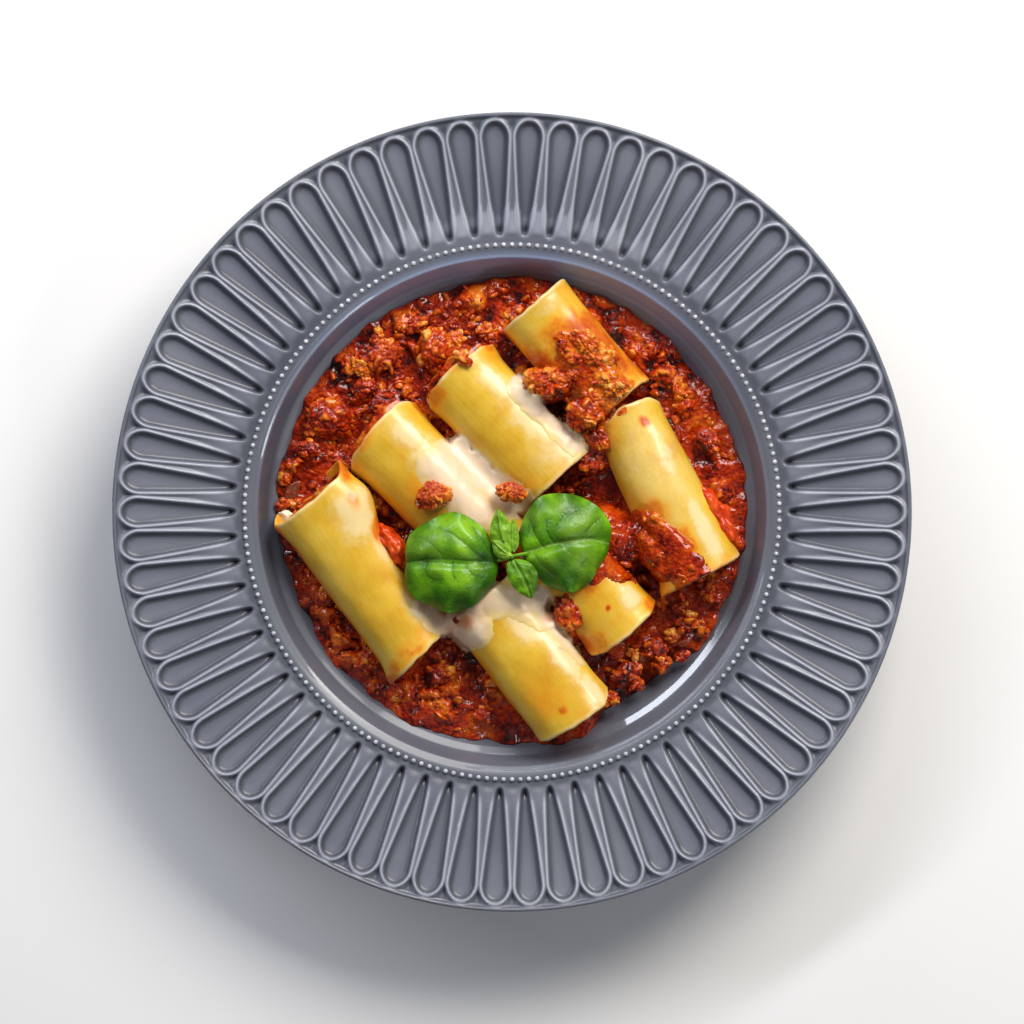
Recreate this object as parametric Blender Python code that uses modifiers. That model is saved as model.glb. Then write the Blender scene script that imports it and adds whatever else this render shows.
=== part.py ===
"""Plate of cannelloni: seven filled pasta tubes lying in ragu on a deep stoneware plate with a fluted
rim, with lumps of minced meat and a sprig of basil on top.

Metres, +Z up. The origin is on the table, under the middle of the plate. +X is the eater's right, and
+Y is away from the eater.
"""

import math

import bmesh
import bpy
from mathutils import Matrix, Vector, noise

# ---- driving dimensions -------------------------------------------------------------------------
PLATE_R = 0.140  # half the plate's width
LOOPS = 70  # pressed loops round the rim
LOOP_PITCH = math.tau / LOOPS

FOOT_R = 0.061  # middle of the foot ring
FLOOR_Z = 0.0070  # top of the well's flat floor
FLOOR_R = 0.074  # where the floor turns up into the wall
WALL_FOOT = (0.0790, 0.0096)  # end of the wall's fillet
WALL_MID = (0.0862, 0.0196)
WALL_TOP = (0.0915, 0.0268)  # smooth shoulder inside the beads
BEAD_R = 0.0939  # middle of the beaded ring
RIM_IN = (0.0954, 0.0286)  # inner edge of the fluted rim
RIM_OUT = (0.1384, 0.0350)  # its outer edge, where the plain lip starts
LOOP_IN_R = 0.0972  # inner tip of a loop's hollow
LOOP_OUT_R = 0.1368  # outer end of its round cap
LOOP_HALF = 0.0044  # half its width at the widest
LOOP_DEPTH = 0.0018
PRESS_CLEARANCE = 0.0002  # how far the press stands above the rim

GAP = 0.0003  # left between neighbours
WALL_GAP = 0.0004  # between the ragu and the coarser facets of the plate
FILLING_GAP = 0.0007  # between a filling and the facets of its tube

TUBE_H = 0.0235  # height of a cooked, slightly flattened tube
TUBE_SKIN = 0.0013
TUBE_BED = 0.0093  # lowest point of a tube that lies flat
TUBE_SIDES = 14
TUBE_SPANS = 4
END_FLARE = 0.0006  # how far a tube's soft ends spread
END_WAVE = 0.0006  # how uneven the ends are

RAGU_LEVEL = 0.0172  # level of the ragu between the tubes
RAGU_STEPS = 33
RAGU_RINGS = 6

LEAF_SKIN = 0.0009

# One row for each tube, in millimetres: the middle of each end, the width at each end, how far each
# end is lifted off the bed, and how far the lower lip of each end sticks out past the upper one.
TUBES = [
    ("pasta_1", (-72.3, 5.8), (-33.2, -50.0), (29.0, 25.0), (3.6, 0.0), (5.0, 2.0)),
    ("pasta_2", (-46.0, 27.1), (-5.6, -14.2), (31.0, 29.5), (0.6, 0.0), (2.5, 0.0)),
    ("pasta_3", (-18.6, 48.1), (15.8, 11.6), (29.5, 30.0), (1.0, 0.4), (2.0, 0.0)),
    ("pasta_4", (7.5, 72.5), (35.5, 40.4), (27.5, 27.0), (3.6, 0.0), (0.0, 1.0)),
    ("pasta_5", (40.6, 32.6), (67.2, -21.9), (25.0, 29.0), (0.0, 3.0), (0.5, 1.5)),
    ("pasta_6", (12.0, -8.9), (38.9, -40.6), (28.5, 28.5), (0.0, 0.6), (0.0, 1.5)),
    ("pasta_7", (-10.5, -30.3), (21.9, -71.6), (30.0, 29.5), (0.0, 3.8), (0.0, 0.5)),
]
FILLING_SETBACK = {"pasta_1": 4.5, "pasta_2": 1.5, "pasta_3": 3.0}  # mm inside the upper end
FILLING_DEFAULT_SETBACK = 2.0

# Heaps of ragu, in millimetres: centre, full size, turn in degrees, and how finely each is made.
HEAPS = [
    ((27.0, 49.0, 27.0), (37.0, 29.0, 22.0), -49.0, 3),  # minced meat over the fourth tube
    ((27.0, 27.0, 18.0), (27.0, 19.0, 19.0), -50.0, 2),  # pieces between the third and the fifth
    ((53.0, -14.0, 23.0), (31.0, 15.5, 21.0), -48.0, 2),  # up the near flank of the fifth
    ((37.5, -7.6, 17.3), (21.0, 19.0, 17.0), 14.0, 2),  # over the upper end of the sixth
    ((17.0, -38.0, 19.0), (20.0, 10.0, 14.0), -50.0, 2),  # between the sixth and the seventh
]

# Loose pieces, in millimetres: name, centre, full size, turn in degrees, seed of its knobs, and
# the tubes that it rests on.
MEAT = [
    ("meat_1", (-27.8, 5.4, 35.5), (13.0, 10.0, 7.5), 15.0, 1.0, (2,)),
    ("meat_2", (-0.4, 6.8, 31.5), (11.0, 7.5, 8.5), -12.0, 4.0, (2, 3)),
    ("meat_3", (13.8, 45.7, 29.5), (20.0, 11.5, 11.0), 6.0, 7.0, (3, 4)),
]
TOMATO = [
    ("tomato_1", (72.3, -0.8, 26.0), (23.0, 8.0, 7.0), -57.0, 2.0, (5,)),
    ("tomato_2", (-41.5, -12.5, 25.5), (17.0, 8.5, 11.0), -56.0, 5.0, (1, 2)),
]

# ---- small tools --------------------------------------------------------------------------------


def mm(value):
    """A length given in millimetres, in metres."""
    return value * 0.001


def clear_scene():
    for obj in list(bpy.data.objects):
        bpy.data.objects.remove(obj, do_unlink=True)


def new_collection(name):
    collection = bpy.data.collections.new(name)
    bpy.context.scene.collection.children.link(collection)
    return collection


def material(name, colour, roughness):
    mat = bpy.data.materials.new(name)
    mat.use_nodes = True
    shader = mat.node_tree.nodes["Principled BSDF"]
    shader.inputs["Base Color"].default_value = (*colour, 1.0)
    shader.inputs["Roughness"].default_value = roughness
    shader.inputs["Metallic"].default_value = 0.0
    mat.diffuse_color = (*colour, 1.0)
    return mat


def add_object(name, bm, collection, mat=None):
    """Turns a bmesh into a named object."""
    mesh = bpy.data.meshes.new(name)
    bm.to_mesh(mesh)
    bm.free()
    obj = bpy.data.objects.new(name, mesh)
    collection.objects.link(obj)
    if mat:
        mesh.materials.append(mat)
    return obj


def add_cutter(name, bm, cutters):
    obj = add_object(name, bm, cutters)
    obj.hide_render = True
    obj.display_type = "WIRE"
    return obj


def boolean(obj, other, operation="DIFFERENCE"):
    mod = obj.modifiers.new("Boolean " + other.name, "BOOLEAN")
    mod.operation = operation
    mod.solver = "EXACT"
    mod.object = other


def bake_modifiers(obj):
    """Replaces an object's mesh by what its modifiers make of it."""
    graph = bpy.context.evaluated_depsgraph_get()
    mesh = bpy.data.meshes.new_from_object(obj.evaluated_get(graph))
    obj.modifiers.clear()
    obj.data = mesh


def keep_largest_piece(obj):
    """Drops the scraps that a cut leaves loose beside the main body."""
    bm = bmesh.new()
    bm.from_mesh(obj.data)
    unseen = set(bm.verts)
    pieces = []
    while unseen:
        piece = [unseen.pop()]
        for vert in piece:
            for edge in vert.link_edges:
                other = edge.other_vert(vert)
                if other in unseen:
                    unseen.remove(other)
                    piece.append(other)
        pieces.append(piece)
    pieces.sort(key=len)
    for piece in pieces[:-1]:
        bmesh.ops.delete(bm, geom=piece, context="VERTS")
    bm.to_mesh(obj.data)
    bm.free()


def turned(name, profile, steps, collection, mat):
    """A body turned round +Z from a profile of (radius, height), top to bottom."""
    bm = bmesh.new()
    verts = [bm.verts.new((radius, 0.0, height)) for radius, height in profile]
    for start, end in zip(verts, verts[1:]):
        bm.edges.new((start, end))
    mesh = bpy.data.meshes.new(name)
    bm.to_mesh(mesh)
    bm.free()
    mesh.materials.append(mat)
    obj = bpy.data.objects.new(name, mesh)
    collection.objects.link(obj)
    screw = obj.modifiers.new("Screw", "SCREW")
    screw.axis = "Z"
    screw.steps = steps
    screw.render_steps = steps
    screw.use_merge_vertices = True
    screw.merge_threshold = 0.00001
    return obj


def shade_smooth(obj, sharp_deg=40.0):
    obj.data.shade_smooth()
    obj.data.set_sharp_from_angle(angle=math.radians(sharp_deg))


def lump_mesh(centre, size, turn_deg, seed, fineness, grow=0.0):
    """A knobbly lump with its centre and full size in millimetres; grow moves its skin outwards."""
    bm = bmesh.new()
    bmesh.ops.create_icosphere(bm, subdivisions=fineness, radius=1.0)
    turn = Matrix.Rotation(math.radians(turn_deg), 3, "Z")
    half = Vector([mm(side) / 2.0 for side in size])
    place = Vector([mm(value) for value in centre])
    for vert in bm.verts:
        knob = 1.0 + 0.28 * noise.noise(vert.co * 1.7 + Vector((seed, 0.0, 0.0)))
        skin = Vector([knob * part * side for part, side in zip(vert.co, half)])
        vert.co = place + turn @ (skin + vert.co * grow)
    return bm


# ---- the plate ----------------------------------------------------------------------------------


def plate_profile():
    """The plate's section: up from the floor, over the lip, and back along the underside."""
    return [
        (0.0, FLOOR_Z),
        (FLOOR_R, FLOOR_Z),
        WALL_FOOT,
        WALL_MID,
        WALL_TOP,
        (BEAD_R, 0.0290),
        RIM_IN,
        RIM_OUT,
        (PLATE_R - 0.0005, 0.0354),
        (PLATE_R, 0.0342),
        (0.0960, 0.0228),
        (0.0800, 0.0050),
        (FOOT_R + 0.0045, 0.0024),
        (FOOT_R + 0.0025, 0.0),
        (FOOT_R - 0.0025, 0.0),
        (FOOT_R - 0.0040, 0.0026),
        (0.0, 0.0026),
    ]


def rim_height(radius):
    """Height of the plain rim, before the loops are pressed into it."""
    share = (radius - RIM_IN[0]) / (RIM_OUT[0] - RIM_IN[0])
    return RIM_IN[1] + share * (RIM_OUT[1] - RIM_IN[1])


def loop_outline():
    """A loop's hollow seen from above: a narrow tip towards the well and a round cap outside."""
    cap_r = LOOP_OUT_R - LOOP_HALF
    side = [(LOOP_IN_R, 0.0005)]
    for degrees in (95.0, 35.0):
        angle = math.radians(degrees)
        side.append((cap_r + LOOP_HALF * math.cos(angle), LOOP_HALF * math.sin(angle)))
    return side + [(radius, -across) for radius, across in reversed(side)]


def loops_cutter(cutters):
    """The press that sinks every loop's hollow into the rim."""
    outline = loop_outline()
    keel = [(LOOP_IN_R + 0.0040, 0.7), (LOOP_OUT_R - 0.0050, 1.0)]
    bm = bmesh.new()
    for index in range(LOOPS):
        turn = index * LOOP_PITCH
        along = Vector((math.cos(turn), math.sin(turn), 0.0))
        across = Vector((-math.sin(turn), math.cos(turn), 0.0))
        points = []
        for radius, side in outline:
            clear = Vector((0.0, 0.0, rim_height(radius) + PRESS_CLEARANCE))
            points.append(bm.verts.new(along * radius + across * side + clear))
        for radius, share in keel:
            depth = Vector((0.0, 0.0, rim_height(radius) - share * LOOP_DEPTH))
            points.append(bm.verts.new(along * radius + depth))
        hull = bmesh.ops.convex_hull(bm, input=points)
        inside = [item for item in hull["geom_interior"] if isinstance(item, bmesh.types.BMVert)]
        bmesh.ops.delete(bm, geom=inside, context="VERTS")
    return add_cutter("loops_cutter", bm, cutters)


def make_plate(parts, cutters):
    glaze = material("slate_glaze", (0.135, 0.145, 0.175), 0.25)
    plate = turned("plate", plate_profile(), LOOPS, parts, glaze)
    plate.rotation_euler.z = LOOP_PITCH / 2.0
    boolean(plate, loops_cutter(cutters))
    shade_smooth(plate)
    return plate


# ---- the pasta tubes ----------------------------------------------------------------------------


class Tube:
    """One cannelloni tube: where it lies, and the form of its skin."""

    def __init__(self, name, start, end, widths, lifts, lips):
        self.name = name
        self.start = Vector((mm(start[0]), mm(start[1]), 0.0))
        self.end = Vector((mm(end[0]), mm(end[1]), 0.0))
        self.widths = (mm(widths[0]), mm(widths[1]))
        self.lifts = (mm(lifts[0]), mm(lifts[1]))
        self.lips = (mm(lips[0]), mm(lips[1]))
        self.length = (self.end - self.start).length
        self.along = (self.end - self.start).normalized()
        self.across = Vector((-self.along.y, self.along.x, 0.0))

    def point(self, share, angle, grow=0.0):
        """A point of the tube's skin at a share of its length; an angle of 90 degrees is the top.

        grow moves the skin outwards.
        """
        width = self.widths[0] + share * (self.widths[1] - self.widths[0])
        lift = self.lifts[0] + share * (self.lifts[1] - self.lifts[0])
        side = math.cos(angle)
        up = math.sin(angle)
        height = TUBE_H * (1.0 - 0.03 * math.cos(math.tau * share))
        near_start = (1.0 - share) ** 3
        near_end = share**3
        flare = grow + END_FLARE * (near_start + near_end)
        wave = END_WAVE * (math.sin(2.0 * angle + self.length * 90.0) + 0.7 * math.sin(3.0 * angle))
        distance = share * self.length
        distance -= (self.lips[0] * (0.5 - 0.5 * up) + wave) * near_start
        distance += (self.lips[1] * (0.5 - 0.5 * up) + wave) * near_end
        centre = self.start + self.along * distance
        centre.z = TUBE_BED + TUBE_H / 2.0 + lift
        return (
            centre
            + self.across * (width / 2.0 + flare) * side
            + Vector((0.0, 0.0, (height / 2.0 + flare) * up))
        )


def tube_mesh(tube, spans, closed, grow=0.0, reach=(0.0, 0.0)):
    """A cylinder bent into the tube's form. reach lengthens it at its first and its second end."""
    bm = bmesh.new()
    bmesh.ops.create_cone(
        bm, cap_ends=closed, segments=TUBE_SIDES, radius1=1.0, radius2=1.0, depth=1.0
    )
    long_edges = [e for e in bm.edges if abs(e.verts[0].co.z - e.verts[1].co.z) > 0.5]
    bmesh.ops.subdivide_edges(bm, edges=long_edges, cuts=spans - 1)
    for vert in bm.verts:
        share = vert.co.z + 0.5
        angle = math.atan2(vert.co.y, vert.co.x)
        point = tube.point(share, angle, grow)
        point -= tube.along * reach[0] * (1.0 - share)
        point += tube.along * reach[1] * share
        vert.co = point
    bmesh.ops.poke(bm, faces=[face for face in bm.faces if len(face.verts) > 4])
    return bm


def make_tube(tube, parts, mat):
    obj = add_object(tube.name, tube_mesh(tube, TUBE_SPANS, False), parts, mat)
    skin = obj.modifiers.new("Solidify", "SOLIDIFY")
    skin.thickness = TUBE_SKIN
    skin.offset = -1.0
    skin.use_even_offset = True
    shade_smooth(obj)
    return obj


def make_filling(tube, parts, mat):
    """The filling runs through the tube, and stops a little inside its ends."""
    setback = mm(FILLING_SETBACK.get(tube.name, FILLING_DEFAULT_SETBACK))
    reach = (-setback, -mm(FILLING_DEFAULT_SETBACK))
    inset = TUBE_SKIN + FILLING_GAP
    bm = tube_mesh(tube, 2, True, -inset, reach)
    name = tube.name.replace("pasta", "filling")
    return add_object(name, bm, parts, mat)


def tube_cutter(tube, cutters):
    """The room that a tube and its gap take up in its neighbours."""
    past_end = GAP + 2.0 * END_WAVE
    bm = tube_mesh(tube, TUBE_SPANS, True, GAP, (past_end, past_end))
    return add_cutter(tube.name + "_room", bm, cutters)


# ---- the ragu -----------------------------------------------------------------------------------


def ragu_height(x, y):
    """Height of the ragu's lumpy top, away from its heaps."""
    place = Vector((x, y, 0.0))
    return RAGU_LEVEL + 0.0012 * noise.noise(place * 90.0) + 0.0007 * noise.noise(place * 210.0)


def ragu_edge(angle):
    """How far up the well's wall the ragu reaches at an angle round the plate: radius and height."""
    place = Vector((math.cos(angle), math.sin(angle), 3.0))
    share = 0.55 + 0.30 * noise.noise(place * 2.2)
    run = WALL_MID[0] - WALL_FOOT[0]
    rise = WALL_MID[1] - WALL_FOOT[1]
    return WALL_FOOT[0] + share * run - WALL_GAP, WALL_FOOT[1] + share * rise + WALL_GAP


def make_ragu(rooms, parts, cutters):
    """A lumpy bed of meat sauce over the well's floor, up to its wall, round the tubes."""
    sauce = material("ragu", (0.30, 0.045, 0.010), 0.30)
    top_z = 1.0
    edge_z = 0.5
    inner = FLOOR_R - 0.0015
    top = [(inner * ring / RAGU_RINGS, top_z) for ring in range(RAGU_RINGS + 1)]
    under = [
        (WALL_FOOT[0] - WALL_GAP, WALL_FOOT[1] + WALL_GAP),
        (FLOOR_R - WALL_GAP, FLOOR_Z + WALL_GAP),
        (0.0, FLOOR_Z + WALL_GAP),
    ]
    ragu = turned("ragu", top + [(WALL_MID[0], edge_z)] + under, RAGU_STEPS, parts, sauce)
    bake_modifiers(ragu)
    for vert in ragu.data.vertices:
        if vert.co.z > 0.9 * top_z:
            vert.co.z = ragu_height(vert.co.x, vert.co.y)
        elif vert.co.z > 0.9 * edge_z:
            angle = math.atan2(vert.co.y, vert.co.x)
            radius, height = ragu_edge(angle)
            vert.co = (radius * math.cos(angle), radius * math.sin(angle), height)
    for index, (centre, size, turn_deg, fineness) in enumerate(HEAPS):
        heap = lump_mesh(centre, size, turn_deg, index * 3.0, fineness)
        boolean(ragu, add_cutter(f"heap_{index + 1}", heap, cutters), "UNION")
    for room in rooms:
        boolean(ragu, room)
    bake_modifiers(ragu)
    keep_largest_piece(ragu)
    shade_smooth(ragu)
    return ragu


# ---- loose pieces of meat and tomato ------------------------------------------------------------


def make_pieces(rows, rooms, parts, cutters, mat):
    """Loose pieces, each cut to the tubes it rests on. Returns the room that they take up."""
    taken = []
    for name, centre, size, turn_deg, seed, tubes in rows:
        taken.append(
            add_cutter(name + "_room", lump_mesh(centre, size, turn_deg, seed, 2, GAP), cutters)
        )
        piece = add_object(name, lump_mesh(centre, size, turn_deg, seed, 2), parts, mat)
        for number in tubes:
            boolean(piece, rooms[number - 1])
        bake_modifiers(piece)
        keep_largest_piece(piece)
        shade_smooth(piece)
    return taken


# ---- the basil ----------------------------------------------------------------------------------


def leaf_mesh(base, tip, width, base_z, dome, droop, cells):
    """A domed oval leaf from its base to its tip, creased along its midrib. Lengths in millimetres."""
    start = Vector((mm(base[0]), mm(base[1]), 0.0))
    reach = Vector((mm(tip[0]), mm(tip[1]), 0.0)) - start
    across = Vector((-reach.y, reach.x, 0.0)).normalized()
    bm = bmesh.new()
    bmesh.ops.create_grid(bm, x_segments=cells, y_segments=cells, size=1.0)
    for vert in bm.verts:
        share = 0.5 + 0.5 * vert.co.x
        side = vert.co.y
        # A round oval, never quite closed at its base and tip.
        half = mm(width) / 2.0 * max(0.12, (1.0 - abs(vert.co.x) ** 2.3) ** 0.5)
        bulge = math.sin(math.pi * min(1.0, max(0.0, 0.04 + 0.92 * share)))
        height = mm(dome) * bulge * (1.0 - side * side) ** 0.7
        height -= mm(0.9) * bulge * max(0.0, 1.0 - abs(side) * 4.0)
        height -= mm(droop) * share * share
        vert.co = start + reach * share + across * (half * side)
        vert.co.z = mm(base_z) + height
    return bm


def make_basil(parts, cutters):
    """A picked sprig: two large domed leaves, four small ones between them, on a short stem."""
    green = material("basil", (0.075, 0.20, 0.012), 0.35)
    leaves = [
        ("leaf_left", (-2.5, -16.5), (-37.0, -17.3), 35.0, 35.6, 7.0, 1.6, 5),
        ("leaf_right", (1.8, -15.6), (34.4, -10.8), 34.5, 35.6, 7.0, 1.6, 5),
        ("leaf_far", (-1.0, -14.4), (-5.4, 1.6), 9.0, 37.2, 1.5, -2.5, 3),
        ("leaf_near", (0.2, -16.6), (6.7, -30.4), 10.0, 37.2, 1.5, 1.2, 3),
        ("leaf_bud", (-0.6, -14.8), (-7.2, -9.4), 6.5, 38.0, 1.0, -2.0, 3),
    ]
    bm = bmesh.new()
    bmesh.ops.create_cone(
        bm, cap_ends=True, segments=8, radius1=mm(1.5), radius2=mm(1.7), depth=mm(5.0)
    )
    bmesh.ops.translate(bm, verts=bm.verts, vec=(mm(-0.4), mm(-15.9), mm(36.6)))
    basil = add_object("basil_sprig", bm, parts, green)
    for name, base, tip, width, base_z, dome, droop, cells in leaves:
        blade = leaf_mesh(base, tip, width, base_z, dome, droop, cells)
        leaf = add_cutter(name, blade, cutters)
        skin = leaf.modifiers.new("Solidify", "SOLIDIFY")
        skin.thickness = LEAF_SKIN
        skin.offset = 0.0
        bake_modifiers(leaf)
        boolean(basil, leaf, "UNION")
    bake_modifiers(basil)
    keep_largest_piece(basil)
    shade_smooth(basil)
    return basil


# ---- the whole plate ----------------------------------------------------------------------------


def build():
    clear_scene()
    parts = new_collection("plate_of_cannelloni")
    cutters = new_collection("cutters")
    make_plate(parts, cutters)

    pasta = material("cooked_pasta", (0.78, 0.52, 0.13), 0.30)
    mince = material("filling", (0.42, 0.10, 0.025), 0.55)
    tubes = [Tube(*row) for row in TUBES]
    rooms = [tube_cutter(tube, cutters) for tube in tubes]
    for tube in tubes:
        make_tube(tube, parts, pasta)
        make_filling(tube, parts, mince)
    browned = material("browned_mince", (0.36, 0.085, 0.020), 0.45)
    flesh = material("tomato", (0.50, 0.050, 0.012), 0.25)
    pieces = make_pieces(MEAT, rooms, parts, cutters, browned)
    pieces += make_pieces(TOMATO, rooms, parts, cutters, flesh)
    make_ragu(rooms + pieces, parts, cutters)
    make_basil(parts, cutters)


build()
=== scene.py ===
"""Plate of cannelloni: seven filled pasta tubes lie side by side in a beef ragu, in the well of a
fluted, beaded stoneware plate, under a little white sauce and a sprig of basil."""

import math
import random

import bmesh
import bpy
import numpy as np
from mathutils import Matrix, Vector, noise
from mathutils.bvhtree import BVHTree


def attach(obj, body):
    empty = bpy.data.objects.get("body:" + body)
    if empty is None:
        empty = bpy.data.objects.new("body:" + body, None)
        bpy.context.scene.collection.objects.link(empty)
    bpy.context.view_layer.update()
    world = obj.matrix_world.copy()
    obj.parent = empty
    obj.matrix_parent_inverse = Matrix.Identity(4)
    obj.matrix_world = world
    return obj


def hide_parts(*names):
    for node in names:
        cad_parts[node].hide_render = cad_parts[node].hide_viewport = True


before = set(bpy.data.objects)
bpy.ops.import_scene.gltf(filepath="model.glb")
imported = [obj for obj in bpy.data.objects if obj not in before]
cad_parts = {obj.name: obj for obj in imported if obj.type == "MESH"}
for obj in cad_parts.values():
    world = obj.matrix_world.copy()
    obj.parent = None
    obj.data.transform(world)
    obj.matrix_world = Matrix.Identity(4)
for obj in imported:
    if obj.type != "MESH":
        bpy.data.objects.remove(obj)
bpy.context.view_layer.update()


# ---- the plate ----------------------------------------------------------------------------------
# A deep pasta plate of grey stoneware, pressed in a mould and dipped in one slate glaze. Seventy
# flutes, each a long loop drawn by a raised line, stand round its broad rim, inside a plain lip.

FLUTES = 70
PITCH = math.tau / FLUTES
# The rim's plain slope, from inside the flutes out to the lip.
RIM_IN_R = 94.8
RIM_IN_Z = 28.4
RIM_OUT_R = 138.6
RIM_OUT_Z = 35.0
# Each loop: where its two rounded ends start, its half width there, and how far they reach.
CAP_IN_R = 98.0
CAP_OUT_R = 131.0
LOOP_IN_HALF = 1.58
LOOP_OUT_HALF = 5.17
CAP_IN_REACH = 1.5
CAP_OUT_REACH = 6.5
# The raised line's height and half width, and the depth inside the loop and between two loops.
LINE_RISE = 0.55
LINE_HALF = 0.80
HOLLOW_DEPTH = 1.2
WEDGE_DEPTH = 0.38


def mm(value):
    return value / 1000.0


def smooth(x, low, high):
    """0 below low, 1 above high, and an even S between them."""
    t = np.clip((np.asarray(x, dtype=float) - low) / (high - low), 0.0, 1.0)
    return t * t * (3.0 - 2.0 * t)


def linear(hex_colour, alpha=1.0):
    """A linear colour from an sRGB hex value."""
    rgb = [int(hex_colour[i : i + 2], 16) / 255.0 for i in (1, 3, 5)]
    rgb = [c / 12.92 if c <= 0.04045 else ((c + 0.055) / 1.055) ** 2.4 for c in rgb]
    return (*rgb, alpha)


def node(tree, kind, inputs=(), links=(), **settings):
    """Adds a node: settings are its own fields, inputs its values, links what feeds its sockets."""
    made = tree.nodes.new(kind)
    for key, value in settings.items():
        setattr(made, key, value)
    for key, value in dict(inputs).items():
        made.inputs[key].default_value = value
    for key, socket in dict(links).items():
        tree.links.new(socket, made.inputs[key])
    return made


def ramp(tree, factor, stops):
    """A colour ramp through (place, hex colour) stops."""
    made = node(tree, "ShaderNodeValToRGB", links={0: factor})
    elements = made.color_ramp.elements
    while len(elements) < len(stops):
        elements.new(0.5)
    for element, (place, colour) in zip(elements, stops):
        element.position = place
        element.color = linear(colour)
    return made.outputs["Color"]


def new_material(name, **shader_values):
    """A material with one Principled shader, and the constants that are set on its sockets."""
    made = bpy.data.materials.new(name)
    made.use_nodes = True
    shader = made.node_tree.nodes["Principled BSDF"]
    for key, value in shader_values.items():
        shader.inputs[key.replace("_", " ")].default_value = value
    return made, made.node_tree, shader


def mesh_object(name, verts, faces, attributes=()):
    """An object from points in millimetres, faces and named values on its points."""
    mesh = bpy.data.meshes.new(name)
    mesh.from_pydata([(mm(x), mm(y), mm(z)) for x, y, z in verts], [], faces)
    for key, values in dict(attributes).items():
        layer = mesh.attributes.new(key, "FLOAT", "POINT")
        layer.data.foreach_set("value", np.asarray(values, dtype=np.float32))
    mesh.shade_smooth()
    mesh.update()
    made = bpy.data.objects.new(name, mesh)
    bpy.context.scene.collection.objects.link(made)
    return made


def finish(piece, material, slot, *nodes):
    """Gives a piece its material and its body, and hides the solids it stands for. Its slot is not
    used.
    """
    if material is not None:
        piece.data.materials.clear()
        piece.data.materials.append(material)
    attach(piece, "root")
    if nodes:
        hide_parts(*nodes)
    return piece


# Slate-grey semi-matt stoneware glaze: it runs thin and pale over each raised line, and pools dark in
# each hollow, with a soft broad gloss. Its tone also carries painted light and shade: lighter and
# bluish on the far wall, lighter on the far rim, darker on the wall at the left and in the corners by
# the loops' outer ends.
glaze, tree, shader = new_material("slate_stoneware_glaze", Roughness=0.42, IOR=1.50)
shader.inputs["Coat Roughness"].default_value = 0.06
place = node(tree, "ShaderNodeTexCoord").outputs["Object"]
thickness = node(tree, "ShaderNodeAttribute", attribute_name="glaze_thickness").outputs["Fac"]
tone = ramp(
    tree,
    thickness,
    [(0.0, "#b4b8c2"), (0.22, "#7d818c"), (0.5, "#545862"), (0.8, "#43464f"), (1.0, "#26282e")],
)
cloud = node(tree, "ShaderNodeTexNoise", {"Scale": 24.0, "Detail": 3.0}, {"Vector": place})
speck = node(tree, "ShaderNodeTexNoise", {"Scale": 900.0, "Detail": 2.0}, {"Vector": place})
clouding = ramp(tree, cloud.outputs["Fac"], [(0.35, "#e9e9ee"), (0.65, "#ffffff")])
clouded = node(
    tree,
    "ShaderNodeMix",
    {0: 1.0},
    {6: tone, 7: clouding},
    data_type="RGBA",
    blend_type="MULTIPLY",
)
# Painted light and a painted reflection: the far wall is painted lighter and bluish.
far_wall_light = node(tree, "ShaderNodeAttribute", attribute_name="thin_glaze").outputs["Fac"]
bluish = node(
    tree,
    "ShaderNodeMix",
    {7: linear("#98abcd")},
    {0: far_wall_light, 6: clouded.outputs[2]},
    data_type="RGBA",
)
tree.links.new(bluish.outputs[2], shader.inputs["Base Color"])
pooled = node(tree, "ShaderNodeAttribute", attribute_name="pooled_glaze").outputs["Fac"]
glassy = node(tree, "ShaderNodeMath", {1: 0.78, 2: 0.22}, {0: pooled}, operation="MULTIPLY_ADD")
tree.links.new(glassy.outputs[0], shader.inputs["Coat Weight"])
grain = node(
    tree,
    "ShaderNodeBump",
    {"Strength": 0.06, "Distance": mm(0.2)},
    {"Height": speck.outputs["Fac"]},
)
tree.links.new(grain.outputs["Normal"], shader.inputs["Normal"])


def line_distance(aside, radius):
    """Distance of a point on the rim from its flute's raised line, less than 0 inside the loop."""
    share = np.clip((radius - CAP_IN_R) / (CAP_OUT_R - CAP_IN_R), 0.0, 1.0)
    half_width = LOOP_IN_HALF + (LOOP_OUT_HALF - LOOP_IN_HALF) * share**0.75
    straight = np.abs(aside) - half_width
    out = np.maximum(radius - CAP_OUT_R, 0.0)
    inward = np.maximum(CAP_IN_R - radius, 0.0)
    reach = np.hypot(aside, out) + 1e-6
    stretched = np.hypot(aside / LOOP_OUT_HALF, out / CAP_OUT_REACH)
    outer_cap = reach * (1.0 - 1.0 / np.maximum(stretched, 1e-3))
    reach = np.hypot(aside, inward) + 1e-6
    stretched = np.hypot(aside / LOOP_IN_HALF, inward / CAP_IN_REACH)
    inner_cap = reach * (1.0 - 1.0 / np.maximum(stretched, 1e-3))
    return np.where(radius > CAP_OUT_R, outer_cap, np.where(radius < CAP_IN_R, inner_cap, straight))


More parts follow.
